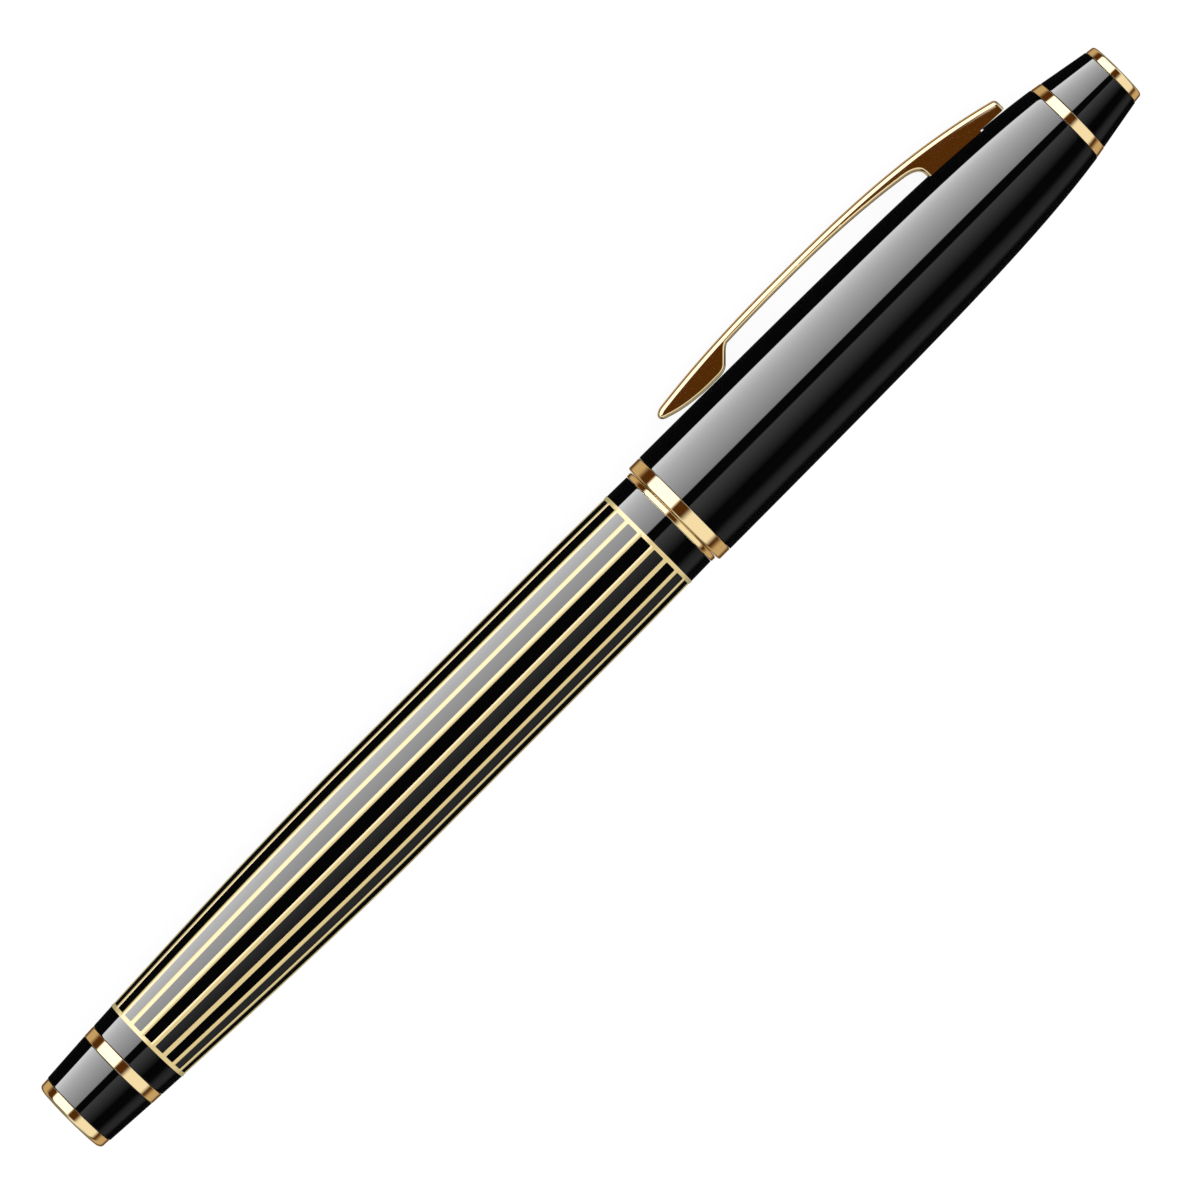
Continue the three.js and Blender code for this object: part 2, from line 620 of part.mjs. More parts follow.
function clipOutline() {
  const shape = new THREE.Shape();
  const noseTop = CLIP_TIP_AT + CLIP_NOSE_ROUND;
  const noseFoot = CLIP_TIP_AT + CLIP_NOSE_ROUND - 0.05;
  const tailCorner = CLIP_TAIL_AT - CLIP_TAIL_ROUND;
  const archAt = CLIP_WEB_AT - CLIP_ARCH;
  const sunk = CAP_TOP_R / 2;
  shape.moveTo(CLIP_TAIL_AT, sunk);
  shape.lineTo(CLIP_WEB_AT, sunk);
  shape.lineTo(CLIP_WEB_AT, capRadius(CLIP_WEB_AT) + 0.35);
  shape.quadraticCurveTo(CLIP_WEB_AT - 0.05, clipUnder(archAt) - 0.25, archAt, clipUnder(archAt));
  follow(shape, clipUnder, archAt, CLIP_NOTCH_AT, 5);
  shape.quadraticCurveTo(
    CLIP_NOTCH_AT - 0.3, clipUnder(CLIP_NOTCH_AT) - 0.1, CLIP_NOTCH_AT - 0.7, FOOT_HEIGHT + 1.3,
  );
  shape.lineTo(CLIP_NOTCH_AT - 1.6, FOOT_HEIGHT + 0.4);
  shape.quadraticCurveTo(CLIP_NOTCH_AT - 2, FOOT_HEIGHT, CLIP_NOTCH_AT - CLIP_HEEL, FOOT_HEIGHT);
  shape.lineTo(CLIP_FOOT_AT - 0.9, FOOT_HEIGHT);
  shape.quadraticCurveTo(CLIP_TIP_AT + CLIP_TOE, FOOT_HEIGHT + 0.1, noseFoot, FOOT_HEIGHT + 0.75);
  shape.bezierCurveTo(
    CLIP_TIP_AT - 0.2, CLIP_NOSE_HEIGHT - 0.4, CLIP_TIP_AT - 0.25, CLIP_NOSE_HEIGHT + 0.4,
    noseTop, clipTop(noseTop),
  );
  follow(shape, clipTop, noseTop, tailCorner, 14);
  shape.quadraticCurveTo(CLIP_TAIL_AT, clipTop(CLIP_TAIL_AT), CLIP_TAIL_AT, clipTop(tailCorner) - 0.5);
  shape.closePath();
  return shape;
}

// The extrusion runs along +Z with the outline in X and Y: turn it to stations in Y, heights in Z.
function acrossPen(shape, width, bevel) {
  const depth = width - 2 * bevel;
  const settings = {
    depth,
    curveSegments: 5,
    bevelEnabled: bevel > 0,
    bevelThickness: bevel,
    bevelSize: bevel,
    bevelOffset: -bevel,
    bevelSegments: 2,
  };
  const plate = new THREE.ExtrudeGeometry(shape, settings);
  plate.translate(0, 0, -depth / 2);
  plate.applyMatrix4(new THREE.Matrix4().set(0, 0, 1, 0, 1, 0, 0, 0, 0, 1, 0, 0, 0, 0, 0, 1));
  return facingOut(plate);
}

// The tongue goes down through the cap's slot to the pin's eye, with a shelf for the spring.
function tongueOutline() {
  const shape = new THREE.Shape();
  const top = capRadius(PIN_AT) + 1.2;
  const front = CLIP_WEB_AT + TONGUE_INSET;
  const rear = CLIP_WEB_END - TONGUE_INSET;
  shape.moveTo(front, top);
  shape.lineTo(rear, top);
  shape.lineTo(rear, TONGUE_SHELF);
  shape.lineTo(PIN_AT + TONGUE_EYE_R, TONGUE_SHELF);
  shape.lineTo(PIN_AT + TONGUE_EYE_R, PIN_HEIGHT);
  shape.absarc(PIN_AT, PIN_HEIGHT, TONGUE_EYE_R, 0, Math.PI, true);
  shape.lineTo(front, PIN_HEIGHT + 1);
  shape.closePath();
  return shape;
}

// The clip's web is saddled over the cap, with more room behind the pin for it to rock.
const ROCK_SLOPE = Math.tan(THREE.MathUtils.degToRad(ROCK_DEGREES));

function saddleRadius(station) {
  return capRadius(station) + 2 * FIT_GAP + SADDLE_WIDENING * ROCK_SLOPE * Math.max(0, station - PIN_AT);
}

const SADDLE_FROM = CLIP_WEB_AT - 1;
const SADDLE_TO = CLIP_TAIL_AT + 1;
const saddle = turned([
  [0, SADDLE_FROM],
  ...trace(saddleRadius, SADDLE_FROM, SADDLE_TO, 6),
  [0, SADDLE_TO],
]);

const clipBody = toSolid(acrossPen(clipOutline(), CLIP_WIDTH, CLIP_BEVEL)).subtract(toSolid(saddle));
const tongue = toSolid(acrossPen(tongueOutline(), TONGUE_WIDTH, 0));
const eye = toSolid(crossBar(PIN_R + FIT_GAP, CLIP_WIDTH, PIN_AT, PIN_HEIGHT));
addPiece("clip", toGeometry(clipBody.add(tongue).subtract(eye)), GOLD);

// ------------------------------------------------------------------ cap

const REBATE = 0.5;
const REBATE_WALL = 0.4;
const BAND_REBATE_R = CAP_BORE_R + REBATE_WALL;

addPiece("cap_band", turned([
  [CAP_BORE_R, MOUTH_AT + SEAT_GAP],
  [CAP_MOUTH_R - 0.12, MOUTH_AT + SEAT_GAP],
  [CAP_MOUTH_R - 0.02, MOUTH_AT + EDGE],
  [CAP_MOUTH_R - 0.02, CAP_SHELL_AT - SEAT_GAP],
  [BAND_REBATE_R + FIT_GAP, CAP_SHELL_AT - SEAT_GAP],
  [BAND_REBATE_R + FIT_GAP, MOUTH_AT + REBATE],
  [CAP_BORE_R, MOUTH_AT + REBATE],
]), GOLD);

// The slot in the cap and the pocket below it, round the tongue.
const SLOT_HALF = TONGUE_WIDTH / 2 + CUT_GAP;
const SLOT_FROM = CLIP_WEB_AT + TONGUE_INSET - CUT_GAP;
const SLOT_TO = CLIP_WEB_END - TONGUE_INSET + CUT_GAP;
const POCKET_FLOOR = PIN_HEIGHT - TONGUE_EYE_R - 2 * CUT_GAP;
const slot = boxBetween([-SLOT_HALF, SLOT_FROM, POCKET_FLOOR], [SLOT_HALF, SLOT_TO, 2 * CAP_MOUTH_R]);

addPiece("cap_shell", cutAway(turned([
  [CAP_BORE_R, MOUTH_AT + REBATE + SEAT_GAP],
  [BAND_REBATE_R, MOUTH_AT + REBATE + SEAT_GAP],
  [BAND_REBATE_R, CAP_SHELL_AT],
  ...trace(capRadius, CAP_SHELL_AT, CAP_SHELL_AT + 0.6 * CAP_SHELL_LENGTH, 3),
  ...trace(capRadius, CAP_SHELL_AT + 0.7 * CAP_SHELL_LENGTH, CROWN_RING_AT - SEAT_GAP, 6),
  ...trace(capBore, CROWN_RING_AT - SEAT_GAP, CAP_TAPER_AT, 1),
]), slot), LACQUER);

const INNER_CAP_AT = MOUTH_AT + REBATE;

addPiece("inner_cap", turned([
  [INNER_CAP_R - INNER_CAP_WALL, INNER_CAP_AT],
  [INNER_CAP_R, INNER_CAP_AT],
  [INNER_CAP_R, INNER_CAP_END],
  [0, INNER_CAP_END],
  [0, INNER_CAP_END - INNER_CAP_WALL],
  [INNER_CAP_R - 2 * INNER_CAP_WALL, INNER_CAP_END - INNER_CAP_WALL],
  [INNER_CAP_R - INNER_CAP_WALL, INNER_CAP_END - 3 * INNER_CAP_WALL],
]), BLACK_PLASTIC);

// The carrier fills the top of the cap and holds the clip's pin, its spring and the crown stud.
const CARRIER_TOP = CROWN_RING_AT - 1.2;
const STUD_HOLE_AT = SLOT_TO + 0.5;
const PIN_HALF = Math.sqrt(carrierSide(PIN_AT) ** 2 - (PIN_HEIGHT + PIN_R) ** 2) - 0.2;

addPiece("clip_carrier", cutAway(
  turned([
    [0, CARRIER_AT],
    [carrierSide(CARRIER_AT), CARRIER_AT],
    ...trace(carrierSide, CAP_TAPER_AT, CARRIER_TOP, 1),
    [STEM_R + FIT_GAP, CARRIER_TOP],
    [STEM_R + FIT_GAP, STUD_HOLE_AT],
    [0, STUD_HOLE_AT],
  ]),
  slot,
  crossBar(PIN_R + FIT_GAP, 2 * CAP_MOUTH_R, PIN_AT, PIN_HEIGHT),
), BRASS);

addPiece("clip_pin", crossBar(PIN_R, PIN_HALF, PIN_AT, PIN_HEIGHT), STEEL);

// The spring stands on the pocket's floor behind the pin and lifts the tongue's rear.
const CLIP_SPRING_AT = SLOT_TO - CUT_GAP - CLIP_SPRING_R - CLIP_SPRING_WIRE_R;
const clipSpringLength = TONGUE_SHELF - POCKET_FLOOR - 2 * SEAT_GAP;
const clipSpring = coil(CLIP_SPRING_R, CLIP_SPRING_WIRE_R, clipSpringLength, CLIP_SPRING_TURNS, 8, 5);
clipSpring.rotateX(Math.PI / 2);
clipSpring.translate(0, CLIP_SPRING_AT, POCKET_FLOOR + SEAT_GAP);
addPiece("clip_spring", clipSpring, STEEL);

// ------------------------------------------------------------------ crown

const CROWN_SOCKET_DEPTH = 2.6;
const CROWN_SOCKET_R = 2.1;

addPiece("crown_ring", turned([
  [STEM_R + FIT_GAP, CROWN_RING_AT],
  [CROWN_RING_R, CROWN_RING_AT],
  [CROWN_BASE_R + 0.03, CROWN_AT - SEAT_GAP],
  [STEM_R + FIT_GAP, CROWN_AT - SEAT_GAP],
]), GOLD);

addPiece("crown", turned([
  [STEM_R + FIT_GAP, CROWN_AT],
  [CROWN_BASE_R, CROWN_AT],
  [CROWN_TOP_R, CROWN_END_AT - SEAT_GAP],
  [CROWN_SOCKET_R + FIT_GAP, CROWN_END_AT - SEAT_GAP],
  [CROWN_SOCKET_R + FIT_GAP, CROWN_END_AT - CROWN_SOCKET_DEPTH - SEAT_GAP],
  [STEM_R + FIT_GAP, CROWN_END_AT - CROWN_SOCKET_DEPTH - SEAT_GAP],
]), LACQUER);

addPiece("crown_end_cap", turned([
  [0, CROWN_END_AT],
  [STEM_R + FIT_GAP, CROWN_END_AT],
  [STEM_R + FIT_GAP, CROWN_END_AT - CROWN_SOCKET_DEPTH],
  [CROWN_SOCKET_R, CROWN_END_AT - CROWN_SOCKET_DEPTH],
  [CROWN_SOCKET_R, CROWN_END_AT],
  [CROWN_END_R, CROWN_END_AT],
  [CROWN_END_R - 0.05, PEN_LENGTH - EDGE],
  [CROWN_FACE_R, PEN_LENGTH],
  [0, PEN_LENGTH],
]), GOLD);

addPiece("crown_stud", turned([
  [0, STUD_HOLE_AT + SEAT_GAP],
  [STEM_R, STUD_HOLE_AT + SEAT_GAP],
  [STEM_R, CROWN_END_AT - SEAT_GAP],
  [0, CROWN_END_AT - SEAT_GAP],
]), STEEL);

// ------------------------------------------------------------------ laid down on the floor

// Lowest point of a mesh along a direction across the pen that points `roll` below the clip's side.
function lowestPoint(meshes, roll) {
  const corner = new THREE.Vector3();
  let lowest = Infinity;
  for (const mesh of meshes) {
    const position = mesh.geometry.getAttribute("position");
    for (let i = 0; i < position.count; i += 1) {
      corner.fromBufferAttribute(position, i);
      lowest = Math.min(lowest, -corner.z * Math.sin(roll) - Math.abs(corner.x) * Math.cos(roll));
    }
  }
  return lowest;
}

// The roll at which the clip touches the floor that the cap rests on, found by halving.
function restingRoll() {
  const clip = pen.children.filter((mesh) => mesh.name === "clip");
  let low = 0;
  let high = Math.PI / 2;
  for (let i = 0; i < 30; i += 1) {
    const middle = (low + high) / 2;
    if (lowestPoint(clip, middle) < -CAP_MOUTH_R) high = middle;
    else low = middle;
  }
  return (low + high) / 2;
}

const roll = restingRoll();

// Stations run to -X; the clip points to -Y and `roll` below the level.
const along = new THREE.Vector3(-1, 0, 0);
const toClip = new THREE.Vector3(0, -Math.cos(roll), -Math.sin(roll));
const across = along.clone().cross(toClip);
pen.setRotationFromMatrix(new THREE.Matrix4().makeBasis(across, along, toClip));

const object = new THREE.Group();
object.add(pen);
object.updateMatrixWorld(true);
const box = new THREE.Box3().setFromObject(object, true);
object.position.set(-(box.min.x + box.max.x) / 2, -(box.min.y + box.max.y) / 2, -box.min.z);
object.updateMatrixWorld(true);

export default object;
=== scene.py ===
"""Looks of a capped rollerball pen: black lacquer, fine gold lines and an arched gold clip."""

import json
import logging
import math
from dataclasses import dataclass, field
from enum import Enum
from typing import Callable, Sequence

import bpy
import numpy as np
from mathutils import Matrix, Vector

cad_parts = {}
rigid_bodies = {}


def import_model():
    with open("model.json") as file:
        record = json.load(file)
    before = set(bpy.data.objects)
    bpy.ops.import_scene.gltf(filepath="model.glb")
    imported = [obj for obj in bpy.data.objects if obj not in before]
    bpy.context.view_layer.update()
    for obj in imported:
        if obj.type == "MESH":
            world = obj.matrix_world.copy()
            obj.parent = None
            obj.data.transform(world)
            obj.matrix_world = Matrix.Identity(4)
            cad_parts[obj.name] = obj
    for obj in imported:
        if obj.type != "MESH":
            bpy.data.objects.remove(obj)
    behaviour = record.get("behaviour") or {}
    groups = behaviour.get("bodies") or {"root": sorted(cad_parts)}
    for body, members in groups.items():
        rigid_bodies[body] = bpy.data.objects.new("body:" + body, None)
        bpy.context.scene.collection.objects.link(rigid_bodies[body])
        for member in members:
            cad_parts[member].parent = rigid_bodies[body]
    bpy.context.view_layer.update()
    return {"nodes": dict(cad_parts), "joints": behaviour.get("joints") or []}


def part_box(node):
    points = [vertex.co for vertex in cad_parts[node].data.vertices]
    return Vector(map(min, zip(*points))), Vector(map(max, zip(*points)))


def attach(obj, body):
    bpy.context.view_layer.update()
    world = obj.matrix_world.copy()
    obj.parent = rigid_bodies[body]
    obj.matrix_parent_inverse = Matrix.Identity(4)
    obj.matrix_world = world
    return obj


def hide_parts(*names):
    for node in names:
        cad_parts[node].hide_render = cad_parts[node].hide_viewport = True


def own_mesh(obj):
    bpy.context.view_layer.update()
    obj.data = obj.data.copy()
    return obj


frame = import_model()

LOG = logging.getLogger("pen")
MM = 0.001
FULL_TURN = 2 * math.pi

Relief = Callable[[np.ndarray, np.ndarray, np.ndarray], np.ndarray]
Socket = bpy.types.NodeSocket
Colour = tuple[float, float, float]


# ---------------------------------------------------------------- the pen's own frame


@dataclass(frozen=True)
class PenAxes:
    """Turns places in the pen's own frame into the row frame.

    A place is (across, station, height) in millimetres: across the clip, along the pen from the
    tail end, and from the pen's axis towards the clip.
    """

    tail: np.ndarray
    across: np.ndarray
    along: np.ndarray
    to_clip: np.ndarray

    @classmethod
    def from_frame(cls) -> "PenAxes":
        """Reads the axis from the tail disc's box and the clip's side from its hinge.

        Returns:
            The axes of the pen as it lies in the row frame.
        """
        low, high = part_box("tail_end_disc")
        middle = (low + high) / 2
        hinge = next(j for j in frame["joints"] if j["name"] == "clip_rock")
        across = -np.array(hinge["axis"], float)
        across /= np.linalg.norm(across)
        along = np.array([-1.0, 0.0, 0.0])
        return cls(np.array([high.x, middle.y, middle.z]), across, along, np.cross(across, along))

    def place(self, points: np.ndarray) -> np.ndarray:
        """Moves points into the row frame.

        Args:
            points: places in the pen's frame, in millimetres, one a row.

        Returns:
            The same places in the row frame, in metres.
        """
        basis = np.stack([self.across, self.along, self.to_clip])
        return self.tail + (points @ basis) * MM

    def measure(self, node: str) -> np.ndarray:
        """Reads a CAD node's corners.

        Args:
            node: the node's name.

        Returns:
            One row a corner: its distance from the pen's axis and its station, in millimetres.
        """
        mesh = frame["nodes"][node].data
        flat = np.empty(3 * len(mesh.vertices))
        mesh.vertices.foreach_get("co", flat)
        offset = (flat.reshape(-1, 3) - self.tail) / MM
        station = offset @ self.along
        away = offset - station[:, None] * self.along
        return np.column_stack([np.linalg.norm(away, axis=1), station])


AXES = PenAxes.from_frame()


@dataclass(frozen=True)
class Turned:
    """The sizes of a turned CAD node: its two ends and its radii there, in millimetres."""

    start: float
    end: float
    start_radius: float
    end_radius: float
    bore: float
    radius: float

    @classmethod
    def of(cls, node: str) -> "Turned":
        """Measures a CAD node.

        Args:
            node: the node's name.

        Returns:
            Its sizes.
        """
        points = AXES.measure(node)
        radius, station = points[:, 0], points[:, 1]
        start, end = station.min(), station.max()
        near = 0.02
        at_start = radius[station < start + near]
        at_end = radius[station > end - near]
        return cls(start, end, at_start.max(), at_end.max(), radius.min(), radius.max())


@dataclass(frozen=True)
class Swell:
    """The outside of a bulging node as a smooth curve of radius along the pen."""

    stations: np.ndarray
    radii: np.ndarray

    @classmethod
    def of(cls, node: str, since: float = 0.0) -> "Swell":
        """Takes the upper hull of a node's (station, radius) corners, which bulge outwards.

        Args:
            node: the node's name.
            since: station before which its corners are left out.

        Returns:
            The curve through the hull's corners.
        """
        radius, station = np.round(AXES.measure(node), 4).T
        radius, station = radius[station >= since], station[station >= since]
        hull: list[np.ndarray] = []
        for place in np.unique(station):
            corner = np.array([place, radius[station == place].max()])
            while len(hull) > 1 and cls._rises(hull[-2], hull[-1], corner):
                hull.pop()
            hull.append(corner)
        stations, radii = np.array(hull).T
        return cls(stations, radii)

    @staticmethod
    def _rises(first: np.ndarray, second: np.ndarray, third: np.ndarray) -> bool:
        """Says whether the second corner lies on or under the line from the first to the third."""
        a, b = second - first, third - first
        return a[0] * b[1] - a[1] * b[0] >= -1e-9

    def at(self, station: np.ndarray | float) -> np.ndarray:
        """Radius by cubic Hermite pieces that never swing past their corners.

        The slope at a corner is the harmonic mean of the slopes of the flats on either side.

        Args:
            station: places along the pen, in millimetres.

        Returns:
            The radius at each, in millimetres.
        """
        x, y = self.stations, self.radii
        flat = np.diff(y) / np.diff(x)
        before, after = flat[:-1], flat[1:]
        same = before * after > 0
        total = np.where(same, before + after, 1.0)
        middle = np.where(same, 2 * before * after / total, 0.0)
        first = 1.5 * flat[0] - 0.5 * middle[0]
        last = 1.5 * flat[-1] - 0.5 * middle[-1]
        slope = np.concatenate([[first], middle, [last]])
        s = np.clip(np.asarray(station, float), x[0], x[-1])
        i = np.clip(np.searchsorted(x, s) - 1, 0, len(x) - 2)
        h = x[i + 1] - x[i]
        t = (s - x[i]) / h
        return (
            (1 + 2 * t) * (1 - t) ** 2 * y[i]
            + t * (1 - t) ** 2 * h * slope[i]
            + t * t * (3 - 2 * t) * y[i + 1]
            + t * t * (t - 1) * h * slope[i + 1]
        )


# ---------------------------------------------------------------- outlines and surfaces


@dataclass(frozen=True)
class Corner:
    """A corner of a turned outline, with the radius that rounds it."""

    radius: float
    station: float
    fillet: float = 0.0


def rounded(corners: Sequence[Corner], closed: bool = True, steps: int = 5) -> np.ndarray:
    """Rounds an outline's corners.

    Each corner with a fillet becomes an arc tangent to both of its sides: with half the turn of
    the corner called a, the arc starts and ends at fillet times tan(a) from it. A holding point
    just past each end keeps the flats flat when they are shaded smooth.

    Args:
        corners: the outline in order.
        closed: whether the last corner joins the first.
        steps: flats along each arc.

    Returns:
        The outline's points, one [radius, station] a row.
    """
    points: list[np.ndarray] = []
    count = len(corners)
    for i, corner in enumerate(corners):
        here = np.array([corner.radius, corner.station])
        end = not closed and i in (0, count - 1)
        if corner.fillet <= 0 or end:
            points.append(here)
            continue
        before = corners[i - 1]
        after = corners[(i + 1) % count]
        back = np.array([before.radius, before.station]) - here
        ahead = np.array([after.radius, after.station]) - here
        back_length, ahead_length = np.linalg.norm(back), np.linalg.norm(ahead)
        back, ahead = back / back_length, ahead / ahead_length
        half_inside = math.acos(float(np.clip(back @ ahead, -1, 1))) / 2
        reach = corner.fillet / math.tan(half_inside)
        limit = 0.45 * min(back_length, ahead_length)
        fillet = corner.fillet * min(1.0, limit / reach)
        reach = min(reach, limit)
        bisector = (back + ahead) / np.linalg.norm(back + ahead)
        centre = here + bisector * math.hypot(fillet, reach)
        first, last = here + back * reach, here + ahead * reach
        u, v = first - centre, last - centre
        spread = math.acos(float(np.clip(u @ v / (fillet * fillet), -1, 1)))
        t = np.linspace(0, 1, steps + 1)[:, None]
        arc = centre + (np.sin((1 - t) * spread) * u + np.sin(t * spread) * v) / math.sin(spread)
        hold = 0.12 * reach
        points.extend([first + back * hold, *arc, last + ahead * hold])
    return np.array(points)


def refined(outline: np.ndarray, longest: float) -> np.ndarray:
    """Splits the long steps of an outline evenly, so that none is longer than a given length."""
    parts = []
    for a, b in zip(outline[:-1], outline[1:]):
        count = max(1, int(np.ceil(np.linalg.norm(b - a) / longest)))
        parts.append(a + (b - a) * np.arange(count)[:, None] / count)
    return np.vstack([*parts, outline[-1:]])


@dataclass
class Surface:
    """A mesh in the pen's own frame, in millimetres: corners, and faces as rows of indices."""

    corners: np.ndarray
    faces: list[np.ndarray] = field(default_factory=list)

    def volume(self) -> float:
        """Six times the signed volume: the sum over a fan of each face of its triple products."""
        total = 0.0
        for block in self.faces:
            p = self.corners[block]
            for k in range(1, block.shape[1] - 1):
                total += float(np.einsum("ij,ij->", p[:, 0], np.cross(p[:, k], p[:, k + 1])))
        return total

    def facing_out(self) -> "Surface":
        """Turns every face round if the surface is inside out."""
        if self.volume() < 0:
            self.faces = [block[:, ::-1] for block in self.faces]
        return self

    def joined(self, other: "Surface") -> "Surface":
        """Puts another surface beside this one, as a separate shell of the same piece."""
        shift = len(self.corners)
        faces = self.faces + [block + shift for block in other.faces]
        return Surface(np.vstack([self.corners, other.corners]), faces)


def grid_faces(rows: int, columns: int, wrap_rows: bool, wrap_columns: bool) -> np.ndarray:
    """Quads of a grid of corners numbered row by row.

    Args:
        rows: corners along the first parameter.
        columns: corners along the second.
        wrap_rows: whether the last row joins the first.
        wrap_columns: whether the last column joins the first.

    Returns:
        One quad of four corner numbers a row.
    """
    i = np.arange(rows if wrap_rows else rows - 1)
    j = np.arange(columns if wrap_columns else columns - 1)
    i, j = np.meshgrid(i, j, indexing="ij")
    down, right = (i + 1) % rows, (j + 1) % columns
    quads = [i * columns + j, i * columns + right, down * columns + right, down * columns + j]
    return np.stack(quads, axis=-1).reshape(-1, 4)


def pole_fans(rows: int, columns: int) -> list[np.ndarray]:
    """Triangles from a grid's first and last rows to the two poles numbered after its corners."""
    here = np.arange(columns)
    after = (here + 1) % columns
    last = (rows - 1) * columns
    pole = rows * columns
    fan_in = np.stack([np.full(columns, pole), after, here], axis=-1)
    fan_out = np.stack([np.full(columns, pole + 1), last + here, last + after], axis=-1)
    return [fan_in, fan_out]


def revolved(outline: np.ndarray, segments: int = 128, relief: Relief | None = None) -> Surface:
    """Turns an outline round the pen's axis.

    The corner at angle a on outline point (radius, station) is (radius sin a, station,
    radius cos a). An outline that starts on the axis ends on it too, and its ends become single
    poles; any other outline is a closed ring.

    Args:
        outline: [radius, station] rows.
        segments: flats round the axis.
        relief: changes the radius from (angle, station, radius), for threads and grooves.

    Returns:
        A closed surface.
    """
    on_axis = outline[0, 0] < 1e-6
    body = outline[1:-1] if on_axis else outline
    angle = np.arange(segments) * FULL_TURN / segments
    a, station = np.meshgrid(angle, body[:, 1])
    radius = np.repeat(body[:, :1], segments, axis=1)
    if relief is not None:
        radius = relief(a, station, radius)
    corners = np.stack([radius * np.sin(a), station, radius * np.cos(a)], axis=-1).reshape(-1, 3)
    faces = [grid_faces(len(body), segments, not on_axis, True)]
    if on_axis:
        poles = np.array([[0, outline[0, 1], 0], [0, outline[-1, 1], 0]])
        corners = np.vstack([corners, poles])
        faces += pole_fans(len(body), segments)
    return Surface(corners, faces).facing_out()


def swept(path: np.ndarray, radius: float, sides: int) -> Surface:
    """Carries a round section along an open path and closes its two ends with poles.

    The section's two directions at each point are the way out from the path's middle, taken
    square to the tangent, and the tangent crossed with it.

    Args:
        path: points along the path.
        radius: the section's radius.
        sides: flats round the section.

    Returns:
        A closed tube.
    """
    tangent = np.gradient(path, axis=0)
    tangent /= np.linalg.norm(tangent, axis=1)[:, None]
    centre = path.mean(axis=0)
    outward = path - centre
    outward -= np.sum(outward * tangent, axis=1)[:, None] * tangent
    outward /= np.linalg.norm(outward, axis=1)[:, None]
    side = np.cross(tangent, outward)
    angle = np.arange(sides) * FULL_TURN / sides
    ring = outward[:, None] * np.cos(angle)[None, :, None] + side[:, None] * np.sin(angle)[None, :, None]
    corners = (path[:, None] + radius * ring).reshape(-1, 3)
    faces = [grid_faces(len(path), sides, False, True), *pole_fans(len(path), sides)]
    return Surface(np.vstack([corners, path[:1], path[-1:]]), faces).facing_out()


def thread(start: float, end: float, pitch: float, depth: float, near: float) -> Relief:
    """Cuts a screw thread into the surface that lies at one radius.

    The depth follows a rounded wave of station over pitch minus angle over a full turn, and fades
    out over one pitch at both ends of the thread. A positive depth cuts outwards into a bore, a
    negative one inwards into a shank.

    Args:
        start: station where the thread starts.
        end: station where it ends.
        pitch: distance between turns.
        depth: how far the radius moves at the root.
        near: the radius of the surface that is cut.

    Returns:
        The relief.
    """

    def relief(angle: np.ndarray, station: np.ndarray, radius: np.ndarray) -> np.ndarray:
        """Radius with the thread cut where the surface is within 0.01 mm of the right radius."""
        turn = station / pitch - angle / FULL_TURN
        wave = 0.5 - 0.5 * np.cos(FULL_TURN * turn)
        fade = np.clip(np.minimum(station - start, end - station) / pitch, 0, 1)
        cut = (np.abs(radius - near) < 0.01) * fade * np.clip(1.6 * wave - 0.3, 0, 1)
        return radius + depth * cut

    return relief


# ---------------------------------------------------------------- finishes


class Nodes:
    """A material's node tree, with short calls to add and join nodes."""

    def __init__(self, name: str) -> None:
        """Starts a material that holds only its shader."""
        self.material = bpy.data.materials.new(name)
        self.material.use_nodes = True
        self.tree = self.material.node_tree
        self.shader = next(n for n in self.tree.nodes if n.type == "BSDF_PRINCIPLED")

    def add(self, kind: str, **inputs: object) -> bpy.types.Node:
        """Adds a node and sets its inputs by name, with _ for spaces."""
        node = self.tree.nodes.new(kind)
        for name, value in inputs.items():
            node.inputs[name.replace("_", " ")].default_value = value
        return node

    def join(self, source: Socket, target: Socket) -> None:
        """Joins an output to an input."""
        self.tree.links.new(source, target)

    def coordinates(self, scale: tuple[float, float, float]) -> Socket:
        """Object coordinates, stretched by a scale along each direction of the row frame."""
        where = self.add("ShaderNodeTexCoord")
        mapping = self.add("ShaderNodeMapping", Scale=scale)
        self.join(where.outputs["Object"], mapping.inputs["Vector"])
        return mapping.outputs["Vector"]

    def noise(self, scale: float, detail: float, stretch: Colour = (1, 1, 1)) -> Socket:
        """A noise texture on the stretched coordinates; returns its value's output."""
        node = self.add("ShaderNodeTexNoise", Scale=scale, Detail=detail)
        self.join(self.coordinates(stretch), node.inputs["Vector"])
        return node.outputs["Fac"]

    def spread(self, value: Socket, low: float, high: float) -> Socket:
        """Spreads the middle half of a value over a range."""
        node = self.add("ShaderNodeMapRange", From_Min=0.3, From_Max=0.7, To_Min=low, To_Max=high)
        self.join(value, node.inputs["Value"])
        return node.outputs["Result"]

    def tint(self, value: Socket, first: Colour, second: Colour) -> Socket:
        """Mixes two colours by a value; returns the colour's output."""
        node = self.tree.nodes.new("ShaderNodeMix")
        node.data_type = "RGBA"
        colours = [s for s in node.inputs if s.type == "RGBA"]
        colours[0].default_value = (*first, 1)
        colours[1].default_value = (*second, 1)
        self.join(value, node.inputs[0])
        return next(s for s in node.outputs if s.type == "RGBA")

    def bump(self, height: Socket, depth: float, strength: float = 1.0) -> None:
        """Raises the surface by a height times a depth in metres, on top of any bump before it."""
        node = self.add("ShaderNodeBump", Strength=strength, Distance=depth)
        self.join(height, node.inputs["Height"])
        earlier = self.shader.inputs["Normal"]
        if earlier.is_linked:
            self.join(earlier.links[0].from_socket, node.inputs["Normal"])
        self.join(node.outputs["Normal"], earlier)


